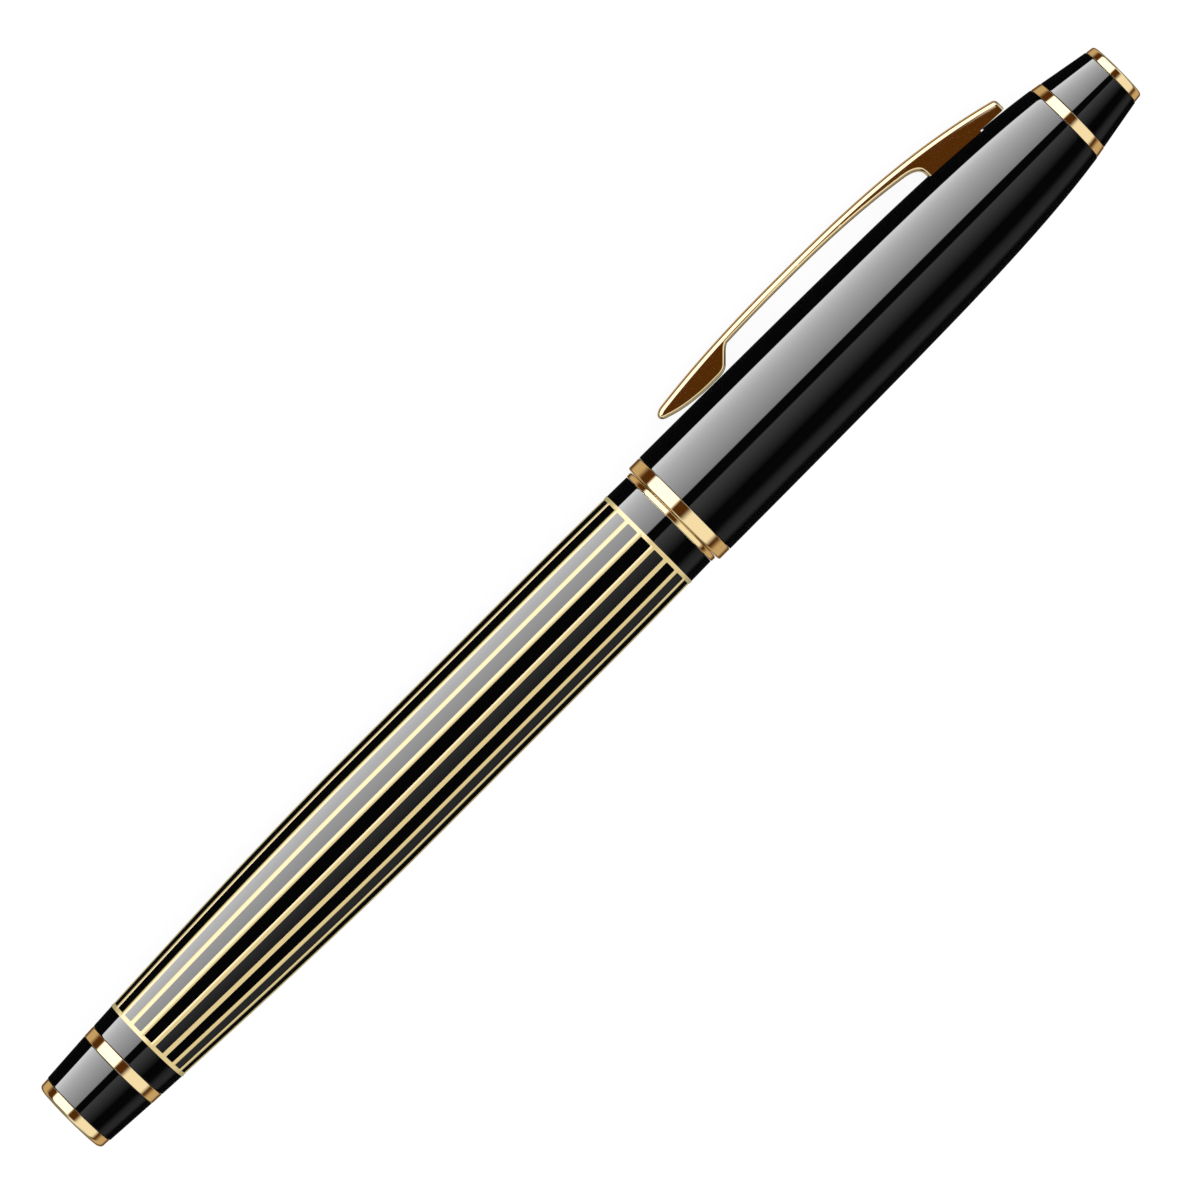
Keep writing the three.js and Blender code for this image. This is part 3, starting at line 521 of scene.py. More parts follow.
@dataclass(frozen=True)
class BlackLacquer:
    """Deep black lacquer, polished: a trace of unevenness and the finest polishing marks."""

    colour: Colour = (0.0008, 0.0008, 0.001)
    lighter: Colour = (0.0014, 0.0014, 0.0017)
    roughness: tuple[float, float] = (0.02, 0.035)
    peel_depth: float = 4e-7
    mark_depth: float = 8e-8

    def build(self, name: str) -> bpy.types.Material:
        """Makes the material under a name."""
        n = Nodes(name)
        cloud = n.noise(260, 3)
        n.join(n.tint(cloud, self.colour, self.lighter), n.shader.inputs["Base Color"])
        marks = n.noise(4200, 4, (1, 0.12, 0.12))
        n.join(n.spread(marks, *self.roughness), n.shader.inputs["Roughness"])
        n.bump(n.noise(900, 2), self.peel_depth)
        n.bump(marks, self.mark_depth)
        n.shader.inputs["IOR"].default_value = 1.5
        return n.material


@dataclass(frozen=True)
class Plate:
    """A polished or turned metal surface: slight clouding, soft tool marks along one direction."""

    colour: Colour
    darker: Colour
    roughness: tuple[float, float]
    grain: tuple[float, float, float] = (1, 1, 1)
    grain_scale: float = 2500
    grain_depth: float = 6e-7

    def build(self, name: str) -> bpy.types.Material:
        """Makes the material under a name."""
        n = Nodes(name)
        cloud = n.noise(420, 4)
        n.join(n.tint(cloud, self.darker, self.colour), n.shader.inputs["Base Color"])
        n.shader.inputs["Metallic"].default_value = 1.0
        grain = n.noise(self.grain_scale, 5, self.grain)
        n.join(n.spread(grain, *self.roughness), n.shader.inputs["Roughness"])
        n.bump(grain, self.grain_depth)
        return n.material


@dataclass(frozen=True)
class Moulded:
    """Moulded plastic or fibre: a fine even grain and a little variation of tone."""

    colour: Colour
    lighter: Colour
    roughness: tuple[float, float]
    grain_scale: float
    grain_depth: float
    stretch: tuple[float, float, float] = (1, 1, 1)

    def build(self, name: str) -> bpy.types.Material:
        """Makes the material under a name."""
        n = Nodes(name)
        n.join(n.tint(n.noise(300, 3), self.colour, self.lighter), n.shader.inputs["Base Color"])
        grain = n.noise(self.grain_scale, 6, self.stretch)
        n.join(n.spread(grain, *self.roughness), n.shader.inputs["Roughness"])
        n.bump(grain, self.grain_depth)
        return n.material


class Finish(Enum):
    """The finishes of the pen: each value is its material's name and the record's slot for it."""

    LACQUER = ("polished_black_lacquer", "black_lacquer")
    GOLD = ("polished_gold_plate", "gold_plate")
    GOLD_LINES = ("satin_gold_inlay", "gold_plate")
    BRASS = ("plain_turned_brass", "turned_brass")
    STEEL = ("drawn_spring_steel", "spring_steel")
    BLACK_PLASTIC = ("moulded_black_plastic", "black_plastic")
    GREY_PLASTIC = ("moulded_grey_plastic", "grey_plastic")
    INK = ("inky_fibre", "ink_fibre")
    NICKEL = ("bright_nickel_silver", "nickel_silver")
    CARBIDE = ("ground_carbide", "carbide")

    @property
    def slot(self) -> str:
        """The record's slot for this finish."""
        return self.value[1]


ALONG_TURNING = (1, 0.06, 0.06)
RECIPES = {
    Finish.LACQUER: BlackLacquer(),
    Finish.GOLD: Plate(
        (0.94, 0.79, 0.47), (0.92, 0.76, 0.43), (0.045, 0.08), (1, 1, 1), 2600, 8e-8
    ),
    Finish.GOLD_LINES: Plate(
        (0.94, 0.79, 0.47), (0.92, 0.76, 0.44), (0.1, 0.18), (1, 0.1, 0.1), 5200, 3e-7
    ),
    Finish.BRASS: Plate(
        (0.78, 0.58, 0.30), (0.62, 0.44, 0.2), (0.25, 0.4), ALONG_TURNING, 6000, 2e-6
    ),
    Finish.STEEL: Plate(
        (0.66, 0.67, 0.69), (0.6, 0.61, 0.63), (0.26, 0.34), ALONG_TURNING, 5000, 1.5e-7
    ),
    Finish.BLACK_PLASTIC: Moulded(
        (0.012, 0.012, 0.013), (0.022, 0.022, 0.023), (0.35, 0.5), 5200, 2e-6
    ),
    Finish.GREY_PLASTIC: Moulded(
        (0.16, 0.165, 0.175), (0.22, 0.225, 0.235), (0.4, 0.55), 5200, 2e-6
    ),
    Finish.INK: Moulded(
        (0.008, 0.01, 0.04), (0.03, 0.04, 0.1), (0.8, 0.95), 7000, 2e-5, (0.08, 1, 1)
    ),
    Finish.NICKEL: Plate(
        (0.78, 0.76, 0.71), (0.66, 0.63, 0.58), (0.14, 0.24), ALONG_TURNING, 9000, 8e-7
    ),
    Finish.CARBIDE: Plate(
        (0.3, 0.31, 0.33), (0.2, 0.21, 0.23), (0.08, 0.16), (1, 1, 1), 9000, 2e-7
    ),
}


class Paintbox:
    """Makes each finish's material once."""

    def __init__(self) -> None:
        """Starts with no material made."""
        self._made: dict[Finish, bpy.types.Material] = {}

    def get(self, finish: Finish) -> bpy.types.Material:
        """Returns a finish's material, made on its first use."""
        if finish not in self._made:
            self._made[finish] = RECIPES[finish].build(finish.value[0])
        return self._made[finish]


PAINTS = Paintbox()


# ---------------------------------------------------------------- pieces


def to_object(name: str, surface: Surface, sharp: float = 34.0) -> bpy.types.Object:
    """Makes a mesh object from a surface, in the row frame, shaded smooth but for its edges.

    Args:
        name: the object's name.
        surface: the surface in the pen's frame.
        sharp: edges that turn by more degrees than this stay crisp.

    Returns:
        The object, at the origin, unturned and unscaled.
    """
    mesh = bpy.data.meshes.new(name)
    corners = AXES.place(surface.corners)
    faces = [tuple(row) for block in surface.faces for row in block.tolist()]
    mesh.from_pydata(corners.tolist(), [], faces)
    mesh.validate()
    mesh.shade_smooth()
    mesh.set_sharp_from_angle(angle=math.radians(sharp))
    made = bpy.data.objects.new(name, mesh)
    bpy.context.scene.collection.objects.link(made)
    return made


def finish_piece(
    made: bpy.types.Object, body: str, finish: Finish, nodes: Sequence[str] = ()
) -> bpy.types.Object:
    """Gives a piece its material and puts it on its body.

    Args:
        made: the piece.
        body: the CAD body that it moves with.
        finish: its finish.
        nodes: CAD nodes that it stands for.

    Returns:
        The piece.
    """
    made.data.materials.clear()
    made.data.materials.append(PAINTS.get(finish))
    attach(made, body)
    finish.slot
    if nodes:
        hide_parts(*nodes)
    LOG.info("%s: %d faces, rides on %s", made.name, len(made.data.polygons), body)
    return made


def turned_piece(
    node: str,
    body: str,
    finish: Finish,
    outline: np.ndarray,
    segments: int = 128,
    relief: Relief | None = None,
) -> bpy.types.Object:
    """Turns an outline into a piece that stands for the CAD node of the same shape.

    Args:
        node: the CAD node; the piece is named after it.
        body: the body that it rides on.
        finish: its finish.
        outline: [radius, station] rows.
        segments: flats round the axis.
        relief: threads or grooves.

    Returns:
        The piece.
    """
    surface = revolved(outline, segments, relief)
    return finish_piece(to_object(f"{node}_piece", surface), body, finish, [node])


def boolean(made: bpy.types.Object, tool: Surface, operation: str) -> None:
    """Cuts a surface from a piece or joins one to it, and applies the result.

    Args:
        made: the piece, changed in place.
        tool: the closed surface to cut or join with.
        operation: DIFFERENCE or UNION.
    """
    cutter = to_object(f"{made.name}_tool", tool)
    modifier = made.modifiers.new("cut", "BOOLEAN")
    modifier.operation = operation
    modifier.solver = "EXACT"
    modifier.object = cutter
    bpy.context.view_layer.update()
    depsgraph = bpy.context.evaluated_depsgraph_get()
    mesh = bpy.data.meshes.new_from_object(made.evaluated_get(depsgraph))
    made.modifiers.clear()
    made.data = mesh
    bpy.data.objects.remove(cutter)
    made.data.shade_smooth()
    made.data.set_sharp_from_angle(angle=math.radians(34))


def helix(radius: float, start: float, end: float, turns: float, flat: float, steps: int) -> np.ndarray:
    """A coil spring's path: a helix whose first and last turns lie flat.

    The angle runs evenly through all the turns, and the station stays at its start for the first
    flat turns, rises evenly, and stays at its end for the last ones.

    Args:
        radius: the helix's radius.
        start: station of the first end.
        end: station of the last end.
        turns: all its turns.
        flat: turns that lie flat at each end.
        steps: points a turn.

    Returns:
        The path's points.
    """
    turn = np.linspace(0, turns, int(turns * steps) + 1)
    rise = np.clip((turn - flat) / (turns - 2 * flat), 0, 1)
    station = start + (end - start) * rise
    angle = FULL_TURN * turn
    return np.column_stack([radius * np.cos(angle), station, radius * np.sin(angle)])


def cap_outside() -> Swell:
    """The cap's outside, from the band to the crown ring."""
    return Swell.of("cap_shell", Turned.of("cap_band").end)


SEAM = 0.07
SOFT = 0.15
SEAT_GAP = 0.03
FIT_GAP = 0.05


def plug(size: Turned, fillet: float) -> np.ndarray:
    """The outline of a plain round plug with both edges rounded."""
    return rounded([
        Corner(0, size.start),
        Corner(size.radius, size.start, fillet),
        Corner(size.radius, size.end, fillet),
        Corner(0, size.end),
    ], closed=False)


def sleeve(size: Turned) -> np.ndarray:
    """The outline of a straight or tapered sleeve with both outer edges softened."""
    return rounded([
        Corner(size.bore, size.start),
        Corner(size.start_radius, size.start, SEAM),
        Corner(size.end_radius, size.end, SEAM),
        Corner(size.bore, size.end),
    ])


@dataclass
class Tail:
    """The gold disc, black cone and gold ring at the pen's tail, and the stud inside them."""

    disc_edge: float = 0.45
    stem_radius: float = 1.5

    def build(self) -> None:
        """Makes the four pieces."""
        disc = Turned.of("tail_end_disc")
        turned_piece("tail_end_disc", "barrel", Finish.GOLD, rounded([
            Corner(0, disc.start),
            Corner(disc.radius - 0.05, disc.start, self.disc_edge),
            Corner(disc.end_radius, disc.end, SEAM),
            Corner(0, disc.end),
        ], closed=False, steps=8), 160)
        for node, finish in (("tail_cone", Finish.LACQUER), ("tail_ring", Finish.GOLD)):
            turned_piece(node, "barrel", finish, sleeve(Turned.of(node)), 160)
        stud = Turned.of("tail_stud")
        flange = stud.end - 1.4
        turned_piece("tail_stud", "barrel", Finish.BRASS, rounded([
            Corner(0, stud.start),
            Corner(self.stem_radius, stud.start, SOFT),
            Corner(self.stem_radius, flange),
            Corner(stud.radius, flange, SOFT),
            Corner(stud.radius, stud.end, SOFT),
            Corner(0, stud.end),
        ], closed=False), 64)


@dataclass
class Barrel:
    """The lacquered barrel with its gold lines, its threaded mouth, and the spring inside it."""

    lines: int = 20
    line_width: float = 0.49
    line_shift: float = -0.05
    ring_width: float = 0.42
    plain_at_tail: float = 2.55
    plain_at_mouth: float = 2.6
    inlay_height: float = 0.04
    inlay_edge: float = -0.015
    inlay_depth: float = 0.15
    cell_corner: float = 0.12
    cell_roundness: float = 0.6
    refill_travel: float = 1.0
    pitch: float = 0.75
    thread_depth: float = 0.22
    wall: float = 0.8
    end_wall: float = 1.1
    bore_foot: float = 33.3
    cup_wall: float = 0.68
    cup_floor: float = 0.5
    stem_bore: float = 1.55
    spring_wire: float = 0.25
    spring_turns: float = 7.0
    shape: Swell = field(default_factory=lambda: Swell.of("barrel_tube"))

    def build(self) -> None:
        """Makes the barrel's pieces."""
        self.build_tube()
        self.build_lines()
        self.build_bush()
        self.build_cup()
        self.build_spring()

    def build_tube(self) -> None:
        """Makes the lacquered tube, hollow, with soft edges at both ends."""
        size = Turned.of("barrel_tube")
        bush = Turned.of("barrel_bush")
        low, high = self.pattern()
        edge = self.ring_width / 2
        outside = np.linspace(size.start + 0.15, size.end - 0.15, 140)
        steps = [low + edge - 0.01, low + edge + 0.01, high - edge - 0.01, high - edge + 0.01]
        outside = np.sort(np.concatenate([outside, steps]))
        skin = np.column_stack([self.shape.at(outside), outside])
        bore = bush.start_radius + FIT_GAP
        tail_bore = size.start_radius - self.wall
        inside = rounded([
            Corner(size.end_radius, size.end, SEAM),
            Corner(bore, size.end, SEAM),
            Corner(bore, size.start + self.bore_foot),
            Corner(tail_bore, size.start + self.end_wall),
            Corner(self.stem_bore, size.start + self.end_wall),
            Corner(self.stem_bore, size.start),
            Corner(size.start_radius, size.start, SEAM),
        ], closed=False)
        first = np.array([[size.start_radius - SEAM, size.start]])
        edges = [
            np.array([[size.start_radius - 0.02, size.start + 0.02]]),
            np.array([[self.shape.at(size.start + SEAM), size.start + SEAM]]),
        ]
        last = [
            np.array([[self.shape.at(size.end - SEAM), size.end - SEAM]]),
            np.array([[size.end_radius - 0.02, size.end - 0.02]]),
            np.array([[size.end_radius - SEAM, size.end]]),
        ]
        outline = np.vstack([first, *edges, skin, *last, inside[1:-1]])
        turned_piece("barrel_tube", "barrel", Finish.LACQUER, outline, 320, self.flatten)

    def pattern(self) -> tuple[float, float]:
        """The stations between which the gold lines run, thin rings included."""
        size = Turned.of("barrel_tube")
        return size.start + self.plain_at_tail, size.end - self.plain_at_mouth

    def flatten(self, angle: np.ndarray, station: np.ndarray, radius: np.ndarray) -> np.ndarray:
        """Makes each lacquer cell a little flatter than the barrel.

        With e the half angle of a cell and d the angle from its middle, the radius falls by
        (1 - roundness) times the radius times (e squared - d squared) over 2.

        Args:
            angle: angles round the pen.
            station: stations along it.
            radius: radii before flattening.

        Returns:
            The radii after it.
        """
        low, high = self.pattern()
        edge = self.ring_width / 2
        sector = FULL_TURN / self.lines
        half = sector / 2
        beside = (angle + half) % sector - half
        fall = (1 - self.cell_roundness) * radius * (half ** 2 - beside ** 2) / 2
        outer = (radius > self.shape.at(station) - 0.05) & (station > low + edge) & (station < high - edge)
        return radius - np.where(outer, fall, 0.0)

    def cell_frame(self, low: float, high: float, half: float) -> tuple[np.ndarray, np.ndarray]:
        """One lacquer cell and the frame round it, laid flat.

        The cell is a long rectangle with round corners. Each of its points goes with a point of
        the outer rectangle: straight across from the sides, and from the corners along the arc's
        own direction, stretched until it meets the rectangle.

        Args:
            low: station of the frame's tail end.
            high: station of its mouth end.
            half: half the cell's width.

        Returns:
            The cell's edge and the frame's, as [sideways, station] rows in the same order.
        """
        corner, ring = self.cell_corner, self.ring_width
        x, y0, y1 = half - corner, low + ring + corner, high - ring - corner
        reach = np.array([self.line_width / 2 + corner, ring + corner])
        inner, outer = [], []
        for k, centre in enumerate([(x, y1), (-x, y1), (-x, y0), (x, y0)]):
            turn = np.linspace(0, math.pi / 2, 7) + k * math.pi / 2
            way = np.column_stack([np.cos(turn), np.sin(turn)])
            square = way / np.abs(way).max(axis=1)[:, None]
            inner.append(np.array(centre) + corner * way)
            outer.append(np.array(centre) + reach * square)
        counts = (8, 90, 8, 90)
        edges = []
        for arcs in (inner, outer):
            parts = []
            for k, count in enumerate(counts):
                share = np.linspace(0, 1, count + 2)[1:-1, None]
                after = arcs[(k + 1) % 4][0]
                parts += [arcs[k], arcs[k][-1] + (after - arcs[k][-1]) * share]
            edges.append(np.vstack(parts))
        return edges[0], edges[1]

    def sideways(self, flat: np.ndarray, radius: np.ndarray, half_cell: float, sector: float) -> np.ndarray:
        """Narrows the cells, and not the lines between them, where the barrel is slimmer.

        Args:
            flat: sideways distances at the barrel's middle.
            radius: the barrel's radius at each.
            half_cell: half a cell's width at the barrel's middle.
            sector: the angle from one line to the next.

        Returns:
            The sideways distances at those radii.
        """
        local = sector * radius / 2 - self.line_width / 2
        past = np.maximum(np.abs(flat) - half_cell, 0)
        inside = np.minimum(np.abs(flat), half_cell)
        return np.sign(flat) * (inside * local / half_cell + past)

    def build_lines(self) -> None:
        """Makes the gold lines and the two thin rings that they run into, as one inlay.

        Each sector is a frame round one lacquer cell. Its surface goes from under the cell's edge
        up to the rim and over to the sector's edge on a curve that falls with the square of the
        way back, so that two neighbours make one rounded line. Distance over radius is angle.
        """
        low, high = self.pattern()
        sector = FULL_TURN / self.lines
        middle = float(self.shape.at((low + high) / 2))
        half_cell = sector * middle / 2 - self.line_width / 2
        cell, edge = self.cell_frame(low, high, half_cell)
        share = np.array([0.0, 0.0, 0.12, 0.3, 0.5, 0.75, 1.0, 1.0])
        height = self.inlay_height - (self.inlay_height - self.inlay_edge) * (1 - share) ** 2
        height[[0, -1]] = -self.inlay_depth
        flat = cell + (edge - cell) * share[:, None, None]
        faces = grid_faces(len(share), len(cell), True, True)
        shells = []
        for k in range(self.lines):
            radius = self.shape.at(flat[..., 1])
            across = self.sideways(flat[..., 0], radius, half_cell, sector) + self.line_shift
            angle = across / radius + k * sector
            radius = radius + height[:, None]
            corners = np.stack([radius * np.sin(angle), flat[..., 1], radius * np.cos(angle)], axis=-1)
            shells.append(Surface(corners.reshape(-1, 3), [faces]).facing_out())
        whole = shells[0]
        for shell in shells[1:]:
            whole = whole.joined(shell)
        finish_piece(to_object("barrel_gold_lines", whole), "barrel", Finish.GOLD_LINES)

    def build_bush(self) -> None:
        """Makes the threaded bush whose flange is the narrow collar."""
        size = Turned.of("barrel_bush")
        collar = Turned.of("barrel_tube").end + SEAT_GAP
        outline = rounded([
            Corner(size.bore, size.start),
            Corner(size.start_radius, size.start, SEAM),
            Corner(size.start_radius, collar),
            Corner(size.radius, collar, 0.1),
            Corner(size.radius, size.end, 0.16),
            Corner(size.bore, size.end),
        ])
        steps = refined(np.vstack([outline, outline[:1]]), self.pitch / 10)[:-1]
        cut = thread(size.start, size.end - 0.4, self.pitch, self.thread_depth, size.bore)
        turned_piece("barrel_bush", "barrel", Finish.GOLD, steps, 128, cut)

    def build_cup(self) -> None:
        """Makes the cup that holds the spring."""
        size = Turned.of("spring_cup")
        bore = size.end_radius - self.cup_wall
        floor = size.start + self.cup_floor
        turned_piece("spring_cup", "barrel", Finish.BLACK_PLASTIC, rounded([
            Corner(0, size.start),
            Corner(size.radius, size.start, SOFT),
            Corner(size.radius, size.end, SOFT),
            Corner(bore, size.end, SOFT),
            Corner(bore, floor, SOFT),
            Corner(0, floor),
        ], closed=False), 96)

    def build_spring(self) -> None:
        """Makes the spring behind the refill, with a flat turn at each end."""
        size = Turned.of("refill_spring")
        wire = self.spring_wire
        path = helix(size.radius - wire, size.start + wire, size.end - wire, self.spring_turns, 0.9, 40)
        spring = to_object("refill_spring_piece", swept(path, wire, 14))
        finish_piece(spring, "barrel", Finish.STEEL, ["refill_spring"])
        seat = AXES.place(np.array([0.0, size.start, 0.0]))
        list(AXES.along)
        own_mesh(spring)


@dataclass
class WritingSection:
    """The threaded bush, snap ring, black grip and gold nose that hold the refill."""

    pitch: float = 0.75
    thread_depth: float = 0.2
    waist: float = 3.8
    waist_at: float = 0.82
    nose_bore: float = 2.55

    def build(self) -> None:
        """Makes the four pieces."""
        self.build_bush()
        self.build_snap_ring()
        self.build_grip()
        self.build_nose()

    def build_bush(self) -> None:
        """Makes the bush: a threaded shank, a flange, and a spigot inside the grip."""
        size = Turned.of("section_bush")
        mouth = Turned.of("barrel_bush").end + SEAT_GAP
        ring = Turned.of("cap_snap_ring")
        outline = rounded([
            Corner(size.bore, size.start, SEAM),
            Corner(size.start_radius, size.start, 0.3),
            Corner(size.start_radius, mouth),
            Corner(size.radius, mouth, 0.12),
            Corner(size.radius, ring.start - SEAT_GAP, 0.12),
            Corner(size.end_radius, ring.start - SEAT_GAP),
            Corner(size.end_radius, size.end, SOFT),
            Corner(size.bore, size.end, SEAM),
        ])
        steps = refined(np.vstack([outline, outline[:1]]), self.pitch / 10)[:-1]
        cut = thread(size.start + 0.4, mouth - 1.2, self.pitch, -self.thread_depth, size.start_radius)
        turned_piece("section_bush", "section", Finish.GOLD, steps, 128, cut)

    def build_snap_ring(self) -> None:
        """Makes the ring that the cap clicks over, crowned across its width."""
        size = Turned.of("cap_snap_ring")
        station = np.linspace(0, 1, 15)
        crown = size.start_radius + (size.radius - size.start_radius) * np.sin(math.pi * station)
        along = size.start + (size.end - size.start) * station
        outline = np.vstack([
            [[size.bore, size.start]],
            np.column_stack([crown, along]),
            [[size.bore, size.end]],
        ])
        turned_piece("cap_snap_ring", "section", Finish.STEEL, outline, 128)

    def build_grip(self) -> None:
        """Makes the black grip: full at the rear, waisted before a slight flare at the nose."""
        size = Turned.of("grip_section")
        nose = Turned.of("section_nose")
        bush = Turned.of("section_bush")
        length = size.end - size.start
        t = np.linspace(0, 1, 90)
        ease = (1 - np.cos(math.pi * np.minimum(t / self.waist_at, 1))) / 2
        fall = size.start_radius + (self.waist - size.start_radius) * ease
        past_waist = np.clip((t - self.waist_at) / (1 - self.waist_at), 0, 1)
        flare = (size.end_radius - self.waist) * past_waist ** 2
        skin = np.column_stack([fall + flare, size.start + length * t])[1:-1]
        spigot = nose.start_radius + FIT_GAP
        inside = np.array([
            [size.end_radius - SEAM, size.end],
            [spigot, size.end],
            [spigot, nose.start - SEAT_GAP],
            [bush.bore, nose.start - SEAT_GAP],
            [bush.bore, bush.end + SEAT_GAP],
            [size.bore if size.bore > bush.bore + 0.1 else bush.end_radius + FIT_GAP, bush.end + SEAT_GAP],
            [bush.end_radius + FIT_GAP, size.start],
            [size.start_radius - SEAM, size.start],
        ])
        turned_piece("grip_section", "section", Finish.LACQUER, np.vstack([skin, inside]), 160)

    def build_nose(self) -> None:
        """Makes the gold nose: a smooth cone to a small rounded mouth, with a step inside."""
        size = Turned.of("section_nose")
        grip = Turned.of("grip_section")
        front = grip.end + SEAT_GAP
        step = front + 1 + SEAT_GAP
        t = np.linspace(0, 1, 40)
        mouth = size.end_radius
        cone = size.radius - (size.radius - mouth - 0.1) * (0.35 * t + 0.65 * t ** 1.6)
        skin = np.column_stack([cone, front + SEAM + (size.end - 0.15 - front - SEAM) * t])
        outline = np.vstack([
            [[self.nose_bore, size.start], [size.start_radius, size.start], [size.start_radius, front]],
            [[size.radius - SEAM, front]],
            skin,
            [[mouth + 0.02, size.end - 0.04], [mouth - 0.05, size.end]],
            [[size.bore, size.end], [size.bore, step], [self.nose_bore, step]],
        ])
        turned_piece("section_nose", "section", Finish.GOLD, outline, 160)


@dataclass
class Refill:
    """The refill: steel tube, end plug, ink fibre, plastic nose, socketed tip and its ball."""

    wall: float = 0.3
    crimp_depth: float = 0.12
    socket: float = 2.0
    neck: float = 2.45

    def build(self) -> None:
        """Makes the refill's pieces."""
        tube = Turned.of("refill_tube")
        crimp = tube.end - 2.2
        outside = np.linspace(tube.start + 0.1, tube.end - 0.1, 240)
        dip = self.crimp_depth * np.exp(-(((outside - crimp) / 0.35) ** 2))
        bore = tube.radius - self.wall
        outline = np.vstack([
            [[bore, tube.start], [tube.radius - 0.05, tube.start]],
            np.column_stack([tube.radius - dip, outside]),
            [[tube.radius - 0.05, tube.end], [bore, tube.end]],
        ])
        turned_piece("refill_tube", "refill", Finish.STEEL, outline, 96)
        plugs = {
            "refill_end_plug": Finish.GREY_PLASTIC,
            "ink_reservoir": Finish.INK,
            "feed_wick": Finish.INK,
        }
        for node, finish in plugs.items():
            turned_piece(node, "refill", finish, plug(Turned.of(node), 0.1), 64)
        self.build_nose()
        self.build_tip()

    def build_nose(self) -> None:
        """Makes the plastic nose, stepped to pass through the pen's nose."""
        size = Turned.of("refill_nose")
        shoulder = Turned.of("section_nose").start + 6.0
        wick = Turned.of("feed_wick")
        tip = Turned.of("writing_tip")
        stem = size.end_radius
        collar = size.start + self.socket
        turned_piece("refill_nose", "refill", Finish.BLACK_PLASTIC, rounded([
            Corner(wick.radius + FIT_GAP, size.start),
            Corner(size.radius, size.start, 0.1),
            Corner(size.radius, collar, 0.1),
            Corner(self.neck, collar + 2, 0.3),
            Corner(self.neck, shoulder, 0.12),
            Corner(stem, shoulder, 0.1),
            Corner(stem, size.end, 0.15),
            Corner(tip.start_radius + FIT_GAP, size.end),
            Corner(tip.start_radius + FIT_GAP, size.end - self.socket),
            Corner(wick.radius + FIT_GAP, size.end - self.socket),
        ]), 96)

    def build_tip(self) -> None:
        """Makes the tip's cone with a spun lip round the ball, and the ball."""
        size = Turned.of("writing_tip")
        ball = Turned.of("writing_ball")
        ball_radius = (ball.end - ball.start) / 2
        centre = (ball.start + ball.end) / 2
        cup = ball_radius + FIT_GAP
        nose = Turned.of("refill_nose").end + SEAT_GAP
        t = np.linspace(0, 1, 24)
        start = nose + 1.35
        cone = cup + 0.12 + (size.radius - cup - 0.12) * (1 - t) ** 1.15
        skin = np.column_stack([cone, start + (centre - 0.3 - start) * t])
        outline = np.vstack([
            [[0, size.start], [size.start_radius, size.start], [size.start_radius, nose]],
            [[size.radius - 0.06, nose], [size.radius, nose + 0.06], [size.radius, start - 0.1]],
            skin,
            [[cup + 0.07, centre - 0.02], [cup + 0.04, centre + 0.02], [cup, centre + 0.01]],
            [[cup, centre - ball_radius - 0.08], [0, centre - ball_radius - 0.1]],
        ])
        turned_piece("writing_tip", "refill", Finish.NICKEL, outline, 72)
        angle = np.linspace(0, math.pi, 25)
        sphere = np.column_stack([ball_radius * np.sin(angle), centre - ball_radius * np.cos(angle)])
        sphere[[0, -1], 0] = 0
        turned_piece("writing_ball", "ball", Finish.CARBIDE, sphere, 48)


